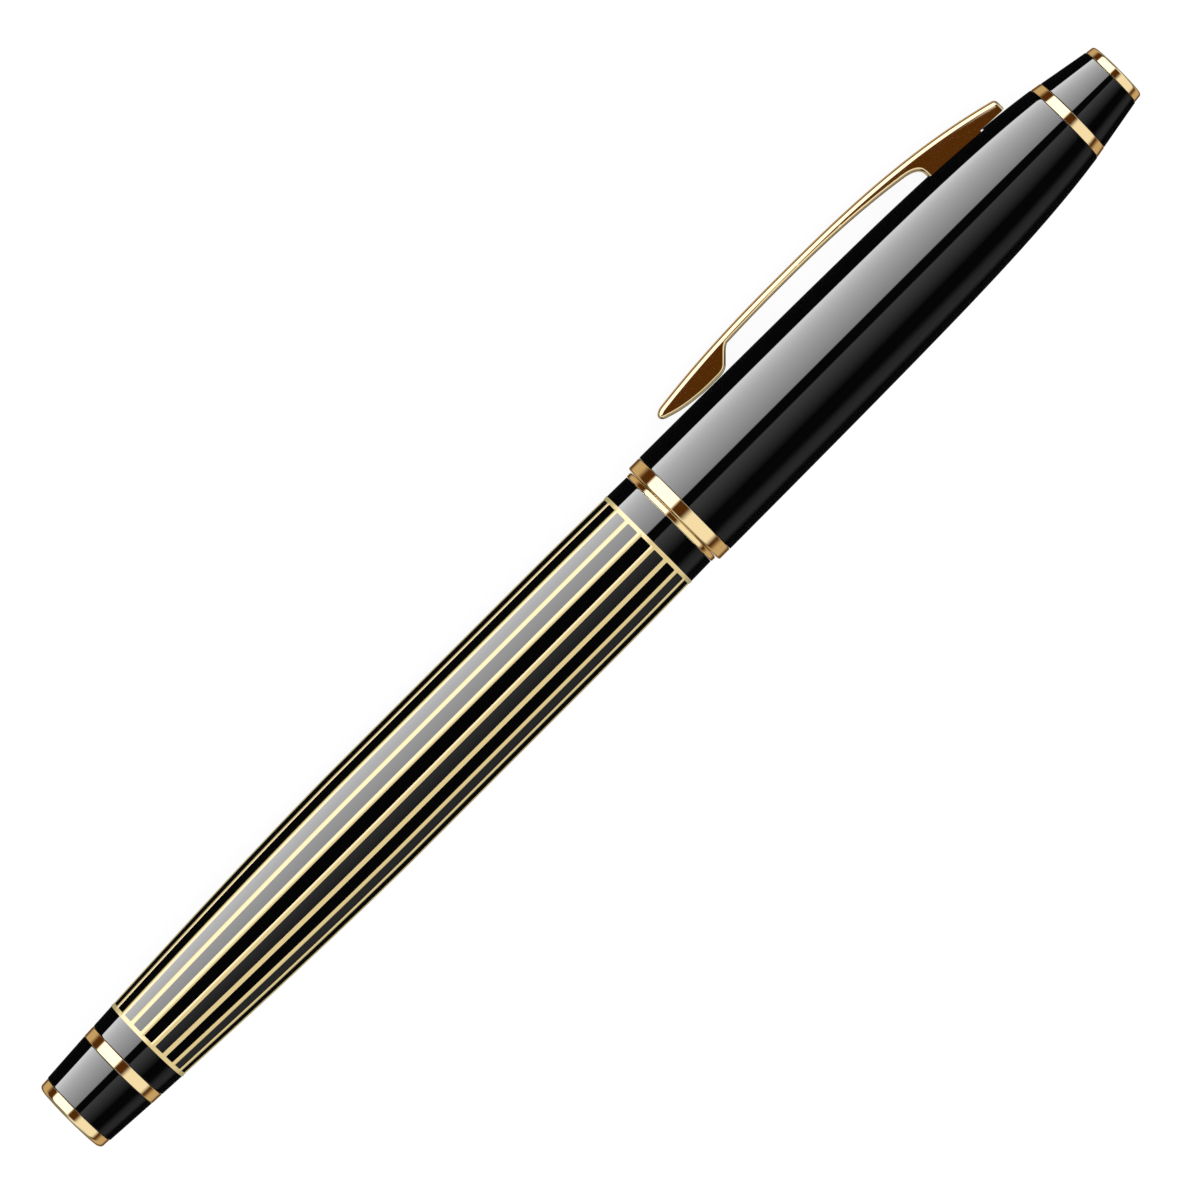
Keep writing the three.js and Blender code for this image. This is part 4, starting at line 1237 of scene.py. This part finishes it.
@dataclass
class Cap:
    """The black cap with its gold band, the liner and clip carrier inside, and the crown."""

    shape: Swell = field(default_factory=cap_outside)
    slot_half: float = 1.4
    slot_front: float = 0.3
    slot_rear: float = 6.8
    slot_floor: float = 1.0
    lacquer_inset: float = 0.005
    taper_length: float = 13.0
    top_wall: float = 0.72
    band_step: float = 0.47
    liner_wall: float = 0.5
    pin_half: float = 2.29
    coil_radius: float = 0.6
    coil_wire: float = 0.14
    coil_from_web: float = 5.76
    crown_socket: float = 2.1

    def build(self) -> None:
        """Makes the cap's pieces."""
        self.build_shell()
        self.build_band()
        self.build_liner()
        self.build_carrier()
        self.build_crown()

    def slot(self, floor: float) -> Surface:
        """The box that is cut through the shell and into the carrier for the clip's tongue."""
        front = CLIP.web_front + self.slot_front
        rear = CLIP.web_front + self.slot_rear
        above_cap = 12.0
        x = [-self.slot_half, self.slot_half]
        corners = np.array([[a, b, c] for a in x for b in (front, rear) for c in (floor, above_cap)])
        quads = np.array([
            [0, 1, 3, 2], [4, 6, 7, 5], [0, 4, 5, 1], [2, 3, 7, 6], [0, 2, 6, 4], [1, 5, 7, 3]
        ])
        return Surface(corners, [quads]).facing_out()

    def build_shell(self) -> None:
        """Makes the lacquered shell, with a lapped mouth under the band and a tapering bore."""
        size = Turned.of("cap_shell")
        band = Turned.of("cap_band")
        carrier = Turned.of("clip_carrier")
        visible = band.end + SEAT_GAP
        lip = self.shape.at(visible)
        taper = size.end - self.taper_length + SEAT_GAP
        outside = np.linspace(visible + 0.12, size.end - 0.1, 150)
        bore = band.bore
        top_bore = size.end_radius - self.top_wall
        outline = np.vstack([
            [[bore, size.start], [size.start_radius, size.start], [size.start_radius, visible]],
            [[lip - SEAM, visible], [lip - 0.02, visible + 0.02]],
            np.column_stack([self.shape.at(outside) - self.lacquer_inset, outside]),
            [[size.end_radius - 0.02, size.end - 0.02], [size.end_radius - SEAM, size.end]],
            [[top_bore, size.end], [bore, taper], [bore, carrier.start - 5]],
        ])
        shell = turned_piece("cap_shell", "cap", Finish.LACQUER, outline, 200)
        boolean(shell, self.slot(self.slot_floor), "DIFFERENCE")

    def build_band(self) -> None:
        """Makes the wide gold band, softly rounded at both edges."""
        size = Turned.of("cap_band")
        lap = size.end_radius - 0.4
        rebate = Turned.of("cap_shell").start_radius + FIT_GAP
        turned_piece("cap_band", "cap", Finish.GOLD, rounded([
            Corner(size.bore, size.start, 0.1),
            Corner(size.radius, size.start, 0.2),
            Corner(size.radius, size.end, 0.1),
            Corner(max(rebate, lap - 1), size.end, SEAM),
            Corner(rebate, size.start + self.band_step),
            Corner(size.bore, size.start + self.band_step),
        ]), 200)

    def build_liner(self) -> None:
        """Makes the plastic inner cap that seals round the tip."""
        size = Turned.of("inner_cap")
        wall = self.liner_wall
        bore = size.radius - wall
        turned_piece("inner_cap", "cap", Finish.BLACK_PLASTIC, rounded([
            Corner(0, size.end - wall),
            Corner(bore, size.end - wall, 1.0),
            Corner(bore, size.start, 0.15),
            Corner(size.radius, size.start, 0.1),
            Corner(size.radius, size.end, 0.2),
            Corner(0, size.end),
        ], closed=False), 96)

    def build_carrier(self) -> None:
        """Makes the plug in the cap's top, cut for the tongue and the pin, with pin and spring."""
        size = Turned.of("clip_carrier")
        top = Turned.of("cap_shell").end
        taper_start = top - self.taper_length + SEAT_GAP
        stud = Turned.of("crown_stud")
        carrier = turned_piece("clip_carrier", "cap", Finish.BRASS, rounded([
            Corner(0, size.start),
            Corner(size.radius, size.start, 0.2),
            Corner(size.radius, taper_start),
            Corner(size.end_radius, size.end, 0.2),
            Corner(stud.radius + FIT_GAP, size.end),
            Corner(stud.radius + FIT_GAP, stud.start - SEAT_GAP),
            Corner(0, stud.start - SEAT_GAP),
        ], closed=False), 96)
        spring = CLIP.spring_box()
        boolean(carrier, self.slot(spring[0]), "DIFFERENCE")
        boolean(carrier, CLIP.pin_bar(CLIP.pin_radius + FIT_GAP, 8.0), "DIFFERENCE")
        carrier.data.materials.clear()
        carrier.data.materials.append(PAINTS.get(Finish.BRASS))
        pin = to_object("clip_pin_piece", CLIP.pin_bar(CLIP.pin_radius, self.pin_half))
        finish_piece(pin, "cap", Finish.STEEL, ["clip_pin"])
        wire = self.coil_wire
        inset = wire + SEAT_GAP
        path = helix(self.coil_radius, spring[0] + inset, spring[1] - inset, 5, 0.8, 24)
        centre = CLIP.web_front + self.coil_from_web
        upright = np.column_stack([path[:, 0], centre + path[:, 2], path[:, 1]])
        coil = to_object("clip_spring_piece", swept(upright, wire, 10))
        finish_piece(coil, "cap", Finish.STEEL, ["clip_spring"])
        seat = AXES.place(np.array([0.0, centre, spring[0]]))
        list(AXES.to_clip)
        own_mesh(coil)

    def build_crown(self) -> None:
        """Makes the gold ring, the black crown, its gold end and the stud through them."""
        turned_piece("crown_stud", "cap", Finish.STEEL, plug(Turned.of("crown_stud"), 0.2), 48)
        turned_piece("crown_ring", "cap", Finish.GOLD, sleeve(Turned.of("crown_ring")), 160)
        crown = Turned.of("crown")
        end = Turned.of("crown_end_cap")
        foot = crown.end + SEAT_GAP
        socket = self.crown_socket
        turned_piece("crown", "cap", Finish.LACQUER, rounded([
            Corner(crown.bore, crown.start),
            Corner(crown.start_radius, crown.start, SEAM),
            Corner(crown.end_radius, crown.end, SEAM),
            Corner(socket + FIT_GAP, crown.end),
            Corner(socket + FIT_GAP, end.start - SEAT_GAP),
            Corner(crown.bore, end.start - SEAT_GAP),
        ]), 160)
        turned_piece("crown_end_cap", "cap", Finish.GOLD, rounded([
            Corner(0, foot),
            Corner(crown.bore, foot),
            Corner(crown.bore, end.start),
            Corner(socket, end.start),
            Corner(socket, foot),
            Corner(end.radius, foot, SEAM),
            Corner(end.radius - 0.12, end.end, 0.3),
            Corner(0, end.end),
        ], closed=False, steps=8), 160)


@dataclass
class Clip:
    """The arched gold clip, drawn from the side and carried across with a rounded rim."""

    width: float = 3.6
    top_rim: float = 0.52
    under_rim: float = 0.36
    thickness: float = 0.88
    root_thickening: float = 0.42
    bow_height: float = 8.91
    nose_height: float = 7.43
    nose_rise: float = 0.52
    tail_height: float = 6.25
    foot_length: float = 9.6
    web_length: float = 7.1
    web_from_tail: float = 9.55
    tongue_width: float = 2.2
    tongue_inset: float = 0.6
    pin_radius: float = 0.5
    pin_depth: float = 1.95
    eye_radius: float = 1.25
    rock: float = 2.5

    def __post_init__(self) -> None:
        """Finds the clip's ends and its pin in the frame, and the cap that it stands on."""
        size = Turned.of("clip")
        self.tip = size.start
        self.tail = size.end
        self.web_front = self.tail - self.web_from_tail
        self.web_end = self.web_front + self.web_length
        self.notch = self.tip + self.foot_length
        self.foot = self.tip + 0.65 * self.foot_length
        self.bow = (self.tip + self.web_front) / 2
        self.cap = cap_outside()
        self.pin = self.web_front + self.web_length / 2
        self.pin_height = float(self.cap.at(self.pin)) - self.pin_depth
        self.foot_height = float(self.cap.at(self.foot)) + SEAT_GAP
        self.shelf = self.pin_height + 0.5

    def top(self, station: np.ndarray) -> np.ndarray:
        """Height of the top edge: a long bow that falls by powers of the way to either end."""
        before = np.clip((self.bow - station) / (self.bow - self.tip), 0, 1)
        after = np.clip((station - self.bow) / (self.tail - self.bow), 0, 1)
        front = self.bow_height - self.nose_height - self.nose_rise
        rear = self.bow_height - self.tail_height
        return self.bow_height - front * before ** 2.3 - rear * after ** 2.7

    def under(self, station: np.ndarray) -> np.ndarray:
        """Height of the bow's under edge: the thickness grows with the square of the way back."""
        t = np.clip((station - self.bow) / (self.web_front - self.bow), 0, 1)
        return self.top(station) - self.thickness - self.root_thickening * t ** 2

    @staticmethod
    def bend(*points: tuple[float, float], steps: int = 14) -> np.ndarray:
        """A Bezier curve of any order: the sum of its points times the binomial weights of t."""
        t = np.linspace(0, 1, steps + 1)[:, None]
        order = len(points) - 1
        curve = np.zeros((steps + 1, 2))
        for k, point in enumerate(points):
            curve += math.comb(order, k) * t ** k * (1 - t) ** (order - k) * np.array(point)
        return curve

    def outline(self) -> np.ndarray:
        """The clip's side view, in order round it.

        Returns:
            Points [station, height], evenly close together.
        """
        nose_top = self.tip + 0.8
        corner = self.tail - 0.45
        arch = self.web_front - 1.7
        sunk = 2.25
        top = lambda s: float(self.top(np.array(s)))
        under = lambda s: float(self.under(np.array(s)))
        back = np.linspace(arch, self.notch, 60)
        ahead = np.linspace(nose_top, corner, 120)
        low = self.foot_height
        web_foot = float(self.cap.at(self.web_front)) + 0.35
        parts = [
            np.array([[self.tail, sunk], [self.web_front, sunk]]),
            self.bend((self.web_front, web_foot), (self.web_front - 0.05, under(arch) - 0.25),
                      (arch, under(arch))),
            np.column_stack([back, self.under(back)]),
            self.bend((self.notch, under(self.notch)), (self.notch - 0.3, under(self.notch) - 0.1),
                      (self.notch - 0.7, low + 1.3)),
            self.bend((self.notch - 1.6, low + 0.4), (self.notch - 2, low), (self.notch - 2.8, low)),
            self.bend((self.foot - 0.9, low), (self.tip + 2.6, low + 0.1), (self.tip + 0.75, low + 0.75)),
            self.bend((self.tip + 0.75, low + 0.75), (self.tip - 0.2, self.nose_height - 0.4),
                      (self.tip - 0.25, self.nose_height + 0.4), (nose_top, top(nose_top)), steps=24),
            np.column_stack([ahead, self.top(ahead)]),
            self.bend((corner, top(corner)), (self.tail, top(self.tail - 0.1)),
                      (self.tail, top(corner) - 0.55)),
        ]
        points = np.vstack(parts)
        gap = np.linalg.norm(np.diff(points, axis=0, prepend=points[-1:]), axis=1)
        points = points[gap > 1e-4]
        return refined(np.vstack([points, points[:1]]), 0.35)[:-1]

    @staticmethod
    def carried(side: np.ndarray, width: float, rims: np.ndarray | None = None, steps: int = 7) -> Surface:
        """Carries a side view across the clip, with its rim rounded to a quarter circle.

        At rim angle a each point moves in by its rim times (1 - cos a) along its inward normal,
        and stands at half the width less its rim times (1 - sin a) to the side.

        Args:
            side: the closed outline, [station, height] rows.
            width: the whole width.
            rims: the rim's radius at each point, or None for square edges.
            steps: flats over each quarter.

        Returns:
            The closed solid.
        """
        ahead = np.roll(side, -1, axis=0) - side
        behind = side - np.roll(side, 1, axis=0)
        ahead /= np.linalg.norm(ahead, axis=1)[:, None]
        behind /= np.linalg.norm(behind, axis=1)[:, None]
        tangent = ahead + behind
        tangent /= np.linalg.norm(tangent, axis=1)[:, None]
        normal = np.column_stack([-tangent[:, 1], tangent[:, 0]])
        x, y = side.T
        if np.sum(x * np.roll(y, -1) - np.roll(x, -1) * y) < 0:
            normal = -normal
        mitre = 1 / np.clip(np.sum(tangent * ahead, axis=1), 0.6, 1)[:, None]
        if rims is None:
            rows = [np.column_stack([np.full(len(side), r), side]) for r in (-width / 2, width / 2)]
        else:
            angle = np.linspace(math.pi / 2, 0, steps + 1)[:, None]
            inset = rims * (1 - np.cos(angle))
            reach = width / 2 - rims * (1 - np.sin(angle))
            moved = side + (normal * mitre) * inset[..., None]
            half = [np.column_stack([r, m]) for r, m in zip(reach, moved)]
            rows = [row * [-1, 1, 1] for row in half] + half[::-1]
        corners = np.vstack(rows)
        count, around = len(rows), len(side)
        first = np.arange(around)[None, :]
        last = (count - 1) * around + first
        faces = [grid_faces(count, around, False, True), first[:, ::-1], last]
        return Surface(corners, faces).facing_out()

    def rims(self, side: np.ndarray) -> np.ndarray:
        """The rim's radius round the outline: broad along the top edge and fine underneath.

        It goes from one to the other with the smooth step of the way from 0.5 to 0.05 mm below
        the top edge, and closes to a fine edge inside the cap.
        """
        station, height = side.T
        share = np.clip((height - self.top(station) + 0.5) / 0.45, 0, 1)
        share = share * share * (3 - 2 * share)
        rim = self.under_rim + (self.top_rim - self.under_rim) * share
        return np.where(height < self.foot_height - 1.5, 0.1, rim)

    def pin_bar(self, radius: float, half_length: float) -> Surface:
        """A round bar across the pen at the clip's hinge."""
        angle = np.arange(48) * FULL_TURN / 48
        ring = np.column_stack([np.zeros(48), self.pin + radius * np.cos(angle),
                                self.pin_height + radius * np.sin(angle)])
        sides = [ring + [x, 0, 0] for x in (-half_length, half_length)]
        faces = [grid_faces(2, 48, False, True), np.arange(48)[None, ::-1], 48 + np.arange(48)[None, :]]
        return Surface(np.vstack(sides), faces).facing_out()

    def spring_box(self) -> tuple[float, float]:
        """Heights of the pocket's floor and of the tongue's shelf, between which the spring sits."""
        return self.pin_height - self.eye_radius - 0.6, self.shelf

    def tongue(self) -> Surface:
        """The tongue that goes down through the cap to the pin, with a shelf for the spring."""
        front = self.web_front + self.tongue_inset
        rear = self.web_end - self.tongue_inset
        top = float(self.cap.at(self.pin)) + 1.2
        eye = np.linspace(0, -math.pi, 25)
        side = np.vstack([
            [[front, top], [rear, top], [rear, self.shelf], [self.pin + self.eye_radius, self.shelf]],
            np.column_stack([self.pin + self.eye_radius * np.cos(eye),
                             self.pin_height + self.eye_radius * np.sin(eye)]),
            [[front, self.pin_height + 1]],
        ])
        return self.carried(side, self.tongue_width)

    def saddle(self) -> Surface:
        """The space that the cap takes out of the web, with room behind the pin for it to rock."""
        station = np.linspace(self.web_front - 1, self.tail + 1, 60)
        room = 0.1 + 1.2 * math.tan(math.radians(self.rock)) * np.maximum(0, station - self.pin)
        skin = np.column_stack([self.cap.at(station) + room, station])
        return revolved(np.vstack([[[0, station[0]]], skin, [[0, station[-1]]]]), 160)

    def build(self) -> None:
        """Makes the clip."""
        side = self.outline()
        solid = self.carried(side, self.width, self.rims(side))
        made = to_object("clip_piece", solid)
        boolean(made, self.saddle(), "DIFFERENCE")
        boolean(made, self.tongue(), "UNION")
        boolean(made, self.pin_bar(self.pin_radius + FIT_GAP, 4.0), "DIFFERENCE")
        made.visible_glossy = False
        finish_piece(made, "clip", Finish.GOLD, ["clip"])


CLIP = Clip()


# ---------------------------------------------------------------- studio


@dataclass(frozen=True)
class Panel:
    """One soft panel of light beside the pen, as long as the pen is.

    Turns are in degrees round the pen, from the camera's side towards the clip's. The slope is how
    much of its brightness the panel gains from its middle to its far edge.
    """

    middle: float
    width: float
    edge: float
    light: Colour
    slope: float = 0.0

    def at(self, turn: np.ndarray) -> np.ndarray:
        """Light from each turn.

        With x the distance from the middle, the share is the smooth step of
        (half the width - |x|) / edge + 1/2.

        Args:
            turn: degrees round the pen.

        Returns:
            Red, green and blue at each turn.
        """
        half = self.width / 2
        away = (turn - self.middle + 180) % 360 - 180
        share = np.clip((half - np.abs(away)) / self.edge + 0.5, 0, 1)
        share = share * share * (3 - 2 * share) * (1 + self.slope * np.clip(away / half, -1, 1))
        return share[..., None] * np.array(self.light)


@dataclass(frozen=True)
class Glow:
    """The panels round the pen that some of its finishes reflect, on one dark surround."""

    name: str
    finishes: tuple[Finish, ...]
    panels: tuple[Panel, ...]
    radius: float
    surround: Colour = (0.01, 0.01, 0.01)
    ends: Colour = (0.9, 0.9, 0.9)

    def colours(self, turn: np.ndarray, slant: np.ndarray) -> np.ndarray:
        """Light from each direction.

        Past a slant of 0.55 the panels fade over a step of 0.2 to the light at the pen's ends,
        which is strongest above and weakest below.

        Args:
            turn: degrees round the pen.
            slant: sine of the angle out of the plane across the pen, -1 to 1.

        Returns:
            Red, green and blue at each place.
        """
        ring = np.array(self.surround) + sum(panel.at(turn) for panel in self.panels)
        share = np.clip((np.abs(slant) - 0.55) / 0.2, 0, 1)[..., None]
        above = (0.25 + 0.75 * np.clip(np.cos(np.radians(turn + 32)), 0, 1) ** 2)[..., None]
        return ring * (1 - share) + above * np.array(self.ends) * share

    def material(self, see_through: bool) -> bpy.types.Material:
        """Makes the glow's material, whose light counts only before any matt bounce.

        Args:
            see_through: whether light from behind it shows as well.

        Returns:
            The material.
        """
        material = bpy.data.materials.new(self.name)
        material.use_nodes = True
        tree = material.node_tree
        tree.nodes.clear()
        reader = tree.nodes.new("ShaderNodeAttribute")
        reader.attribute_name = "glow"
        emission = tree.nodes.new("ShaderNodeEmission")
        path = tree.nodes.new("ShaderNodeLightPath")
        direct = tree.nodes.new("ShaderNodeMath")
        direct.operation = "LESS_THAN"
        direct.inputs[1].default_value = 0.5
        output = tree.nodes.new("ShaderNodeOutputMaterial")
        tree.links.new(path.outputs["Diffuse Depth"], direct.inputs[0])
        tree.links.new(direct.outputs["Value"], emission.inputs["Strength"])
        tree.links.new(reader.outputs["Color"], emission.inputs["Color"])
        light = emission.outputs["Emission"]
        if see_through:
            both = tree.nodes.new("ShaderNodeAddShader")
            clear = tree.nodes.new("ShaderNodeBsdfTransparent")
            tree.links.new(light, both.inputs[0])
            tree.links.new(clear.outputs["BSDF"], both.inputs[1])
            light = both.outputs["Shader"]
        tree.links.new(light, output.inputs["Surface"])
        material.cycles.emission_sampling = "NONE"
        return material

    def build(self, see_through: bool) -> None:
        """Makes the sphere of light, with its poles on the pen's axis.

        The corner at turn a and slant angle b is the radius times (cos b times the direction at
        turn a, plus sin b times the pen's direction).

        Args:
            see_through: whether light from behind it shows as well.
        """
        turn = np.linspace(-180, 179.5, 720)
        slant = np.linspace(-88, 88, 89)
        a, b = np.meshgrid(np.radians(turn), np.radians(slant))
        out = np.cos(a)[..., None] * AXES.across + np.sin(a)[..., None] * AXES.to_clip
        points = self.radius * (np.cos(b)[..., None] * out + np.sin(b)[..., None] * AXES.along)
        mesh = bpy.data.meshes.new(self.name)
        quads = grid_faces(len(slant), len(turn), False, True)
        mesh.from_pydata(points.reshape(-1, 3).tolist(), [], [tuple(q) for q in quads.tolist()])
        colour = self.colours(np.degrees(a), np.sin(b)).reshape(-1, 3)
        layer = mesh.color_attributes.new("glow", "FLOAT_COLOR", "POINT")
        layer.data.foreach_set("color", np.column_stack([colour, np.ones(len(colour))]).ravel())
        mesh.materials.append(self.material(see_through))
        dome = bpy.data.objects.new(self.name, mesh)
        bpy.context.scene.collection.objects.link(dome)
        dome.visible_camera = False
        dome.visible_diffuse = False
        dome.visible_shadow = False
        dome.visible_transmission = False
        lit = bpy.data.collections.new(f"{self.name}_on")
        paints = [PAINTS.get(finish) for finish in self.finishes]
        for piece in list(bpy.context.scene.objects):
            if piece.type == "MESH" and piece.active_material in paints:
                lit.objects.link(piece)
        dome.light_linking.receiver_collection = lit
        LOG.info("%s shines on %d pieces", self.name, len(lit.objects))


LACQUER_PANELS = (
    Panel(middle=52, width=86, edge=2, light=(8.5, 8.5, 8.5), slope=0.4),
    Panel(middle=-32, width=44, edge=2, light=(0.5, 0.5, 0.5), slope=1.0),
    Panel(middle=-100, width=30, edge=20, light=(0.3, 0.3, 0.3)),
    Panel(middle=180, width=20, edge=10, light=(0.5, 0.5, 0.5)),
)
GOLD_PANELS = (
    Panel(middle=43, width=64, edge=8, light=(1.6, 1.6, 1.8)),
    Panel(middle=-52, width=70, edge=15, light=(0.9, 0.9, 0.85)),
    Panel(middle=125, width=40, edge=20, light=(0.5, 0.4, 0.25)),
    Panel(middle=-125, width=40, edge=20, light=(0.5, 0.4, 0.25)),
    Panel(middle=180, width=30, edge=20, light=(0.4, 0.35, 0.25)),
)
INLAY_PANELS = (
    Panel(middle=50, width=90, edge=30, light=(0.5, 0.5, 0.7)),
    Panel(middle=0, width=240, edge=60, light=(0.4, 0.36, 0.32)),
)


@dataclass
class Studio:
    """Pale floor, soft light, panels that only the pen's gloss sees, and the camera."""

    camera_distance: float = 1.1
    seen_width: float = 0.1134
    aim_station: float = 70.03
    aim_height: float = -0.805
    floor_size: float = 6.0
    sensor: float = 36.0

    def build(self) -> None:
        """Makes the whole studio."""
        self.build_world()
        self.build_floor()
        gold = (Finish.GOLD,)
        inlay = (Finish.GOLD_LINES,)
        others = tuple(finish for finish in Finish if finish not in gold + inlay)
        Glow("lacquer_glow", others, LACQUER_PANELS, 2.5).build(see_through=True)
        Glow("gold_glow", gold, GOLD_PANELS, 2.6, surround=(0.09, 0.03, 0.005)).build(see_through=True)
        Glow("inlay_glow", inlay, INLAY_PANELS, 2.7, surround=(0.4, 0.4, 0.3)).build(see_through=False)
        self.build_key()
        self.build_camera()
        bpy.context.scene.view_settings.view_transform = "Standard"

    def build_world(self) -> None:
        """An even white surround that lights the floor and the matt pieces."""
        world = bpy.data.worlds.new("surround")
        world.use_nodes = True
        background = next(n for n in world.node_tree.nodes if n.type == "BACKGROUND")
        background.inputs["Color"].default_value = (1, 1, 1, 1)
        background.inputs["Strength"].default_value = 1.1
        bpy.context.scene.world = world

    def build_floor(self) -> None:
        """A wide pale floor that glows a little and doesn't show in the pen's gloss."""
        half = self.floor_size / 2
        mesh = bpy.data.meshes.new("floor")
        corners = [(-half, -half, 0), (half, -half, 0), (half, half, 0), (-half, half, 0)]
        mesh.from_pydata(corners, [], [(0, 1, 2, 3)])
        floor = bpy.data.objects.new("floor", mesh)
        bpy.context.scene.collection.objects.link(floor)
        n = Nodes("pale_floor")
        n.shader.inputs["Base Color"].default_value = (0.1, 0.1, 0.1, 1)
        n.shader.inputs["Roughness"].default_value = 1.0
        n.shader.inputs["Specular IOR Level"].default_value = 0.0
        n.shader.inputs["Emission Color"].default_value = (1, 1, 1, 1)
        n.shader.inputs["Emission Strength"].default_value = 0.94
        mesh.materials.append(n.material)
        floor.visible_glossy = False

    def build_key(self) -> None:
        """A large soft light above, which isn't seen in the gloss."""
        light = bpy.data.lights.new("key", "AREA")
        light.shape = "DISK"
        light.size = 1.6
        light.energy = 5.0
        key = bpy.data.objects.new("key", light)
        key.location = (-0.4, -0.8, 1.4)
        key.rotation_euler = (Vector((0, 0, 0)) - key.location).to_track_quat("-Z", "Y").to_euler()
        key.visible_glossy = False
        bpy.context.scene.collection.objects.link(key)

    def build_camera(self) -> None:
        """Looks straight across the clip, with the pen on the rising diagonal of the picture."""
        aim = Vector(AXES.place(np.array([0.0, self.aim_station, self.aim_height])))
        back = Vector(AXES.across)
        up = Vector(AXES.along + AXES.to_clip).normalized()
        right = up.cross(back).normalized()
        data = bpy.data.cameras.new("camera")
        data.sensor_width = self.sensor
        data.lens = self.sensor * self.camera_distance / self.seen_width
        data.clip_start = 0.01
        data.clip_end = 50
        camera = bpy.data.objects.new("camera", data)
        bpy.context.scene.collection.objects.link(camera)
        turn = Matrix((right, up, back)).transposed().to_4x4()
        camera.matrix_world = Matrix.Translation(aim + back * self.camera_distance) @ turn
        bpy.context.scene.camera = camera


def main() -> None:
    """Builds the pen's sub-assemblies in order from tail to crown, then the studio."""
    logging.basicConfig(level=logging.INFO, format="%(name)s: %(message)s")
    for part in (Tail(), Barrel(), WritingSection(), Refill(), Cap(), CLIP, Studio()):
        LOG.info("building %s", type(part).__name__)
        part.build()


if __name__ == "__main__":
    main()
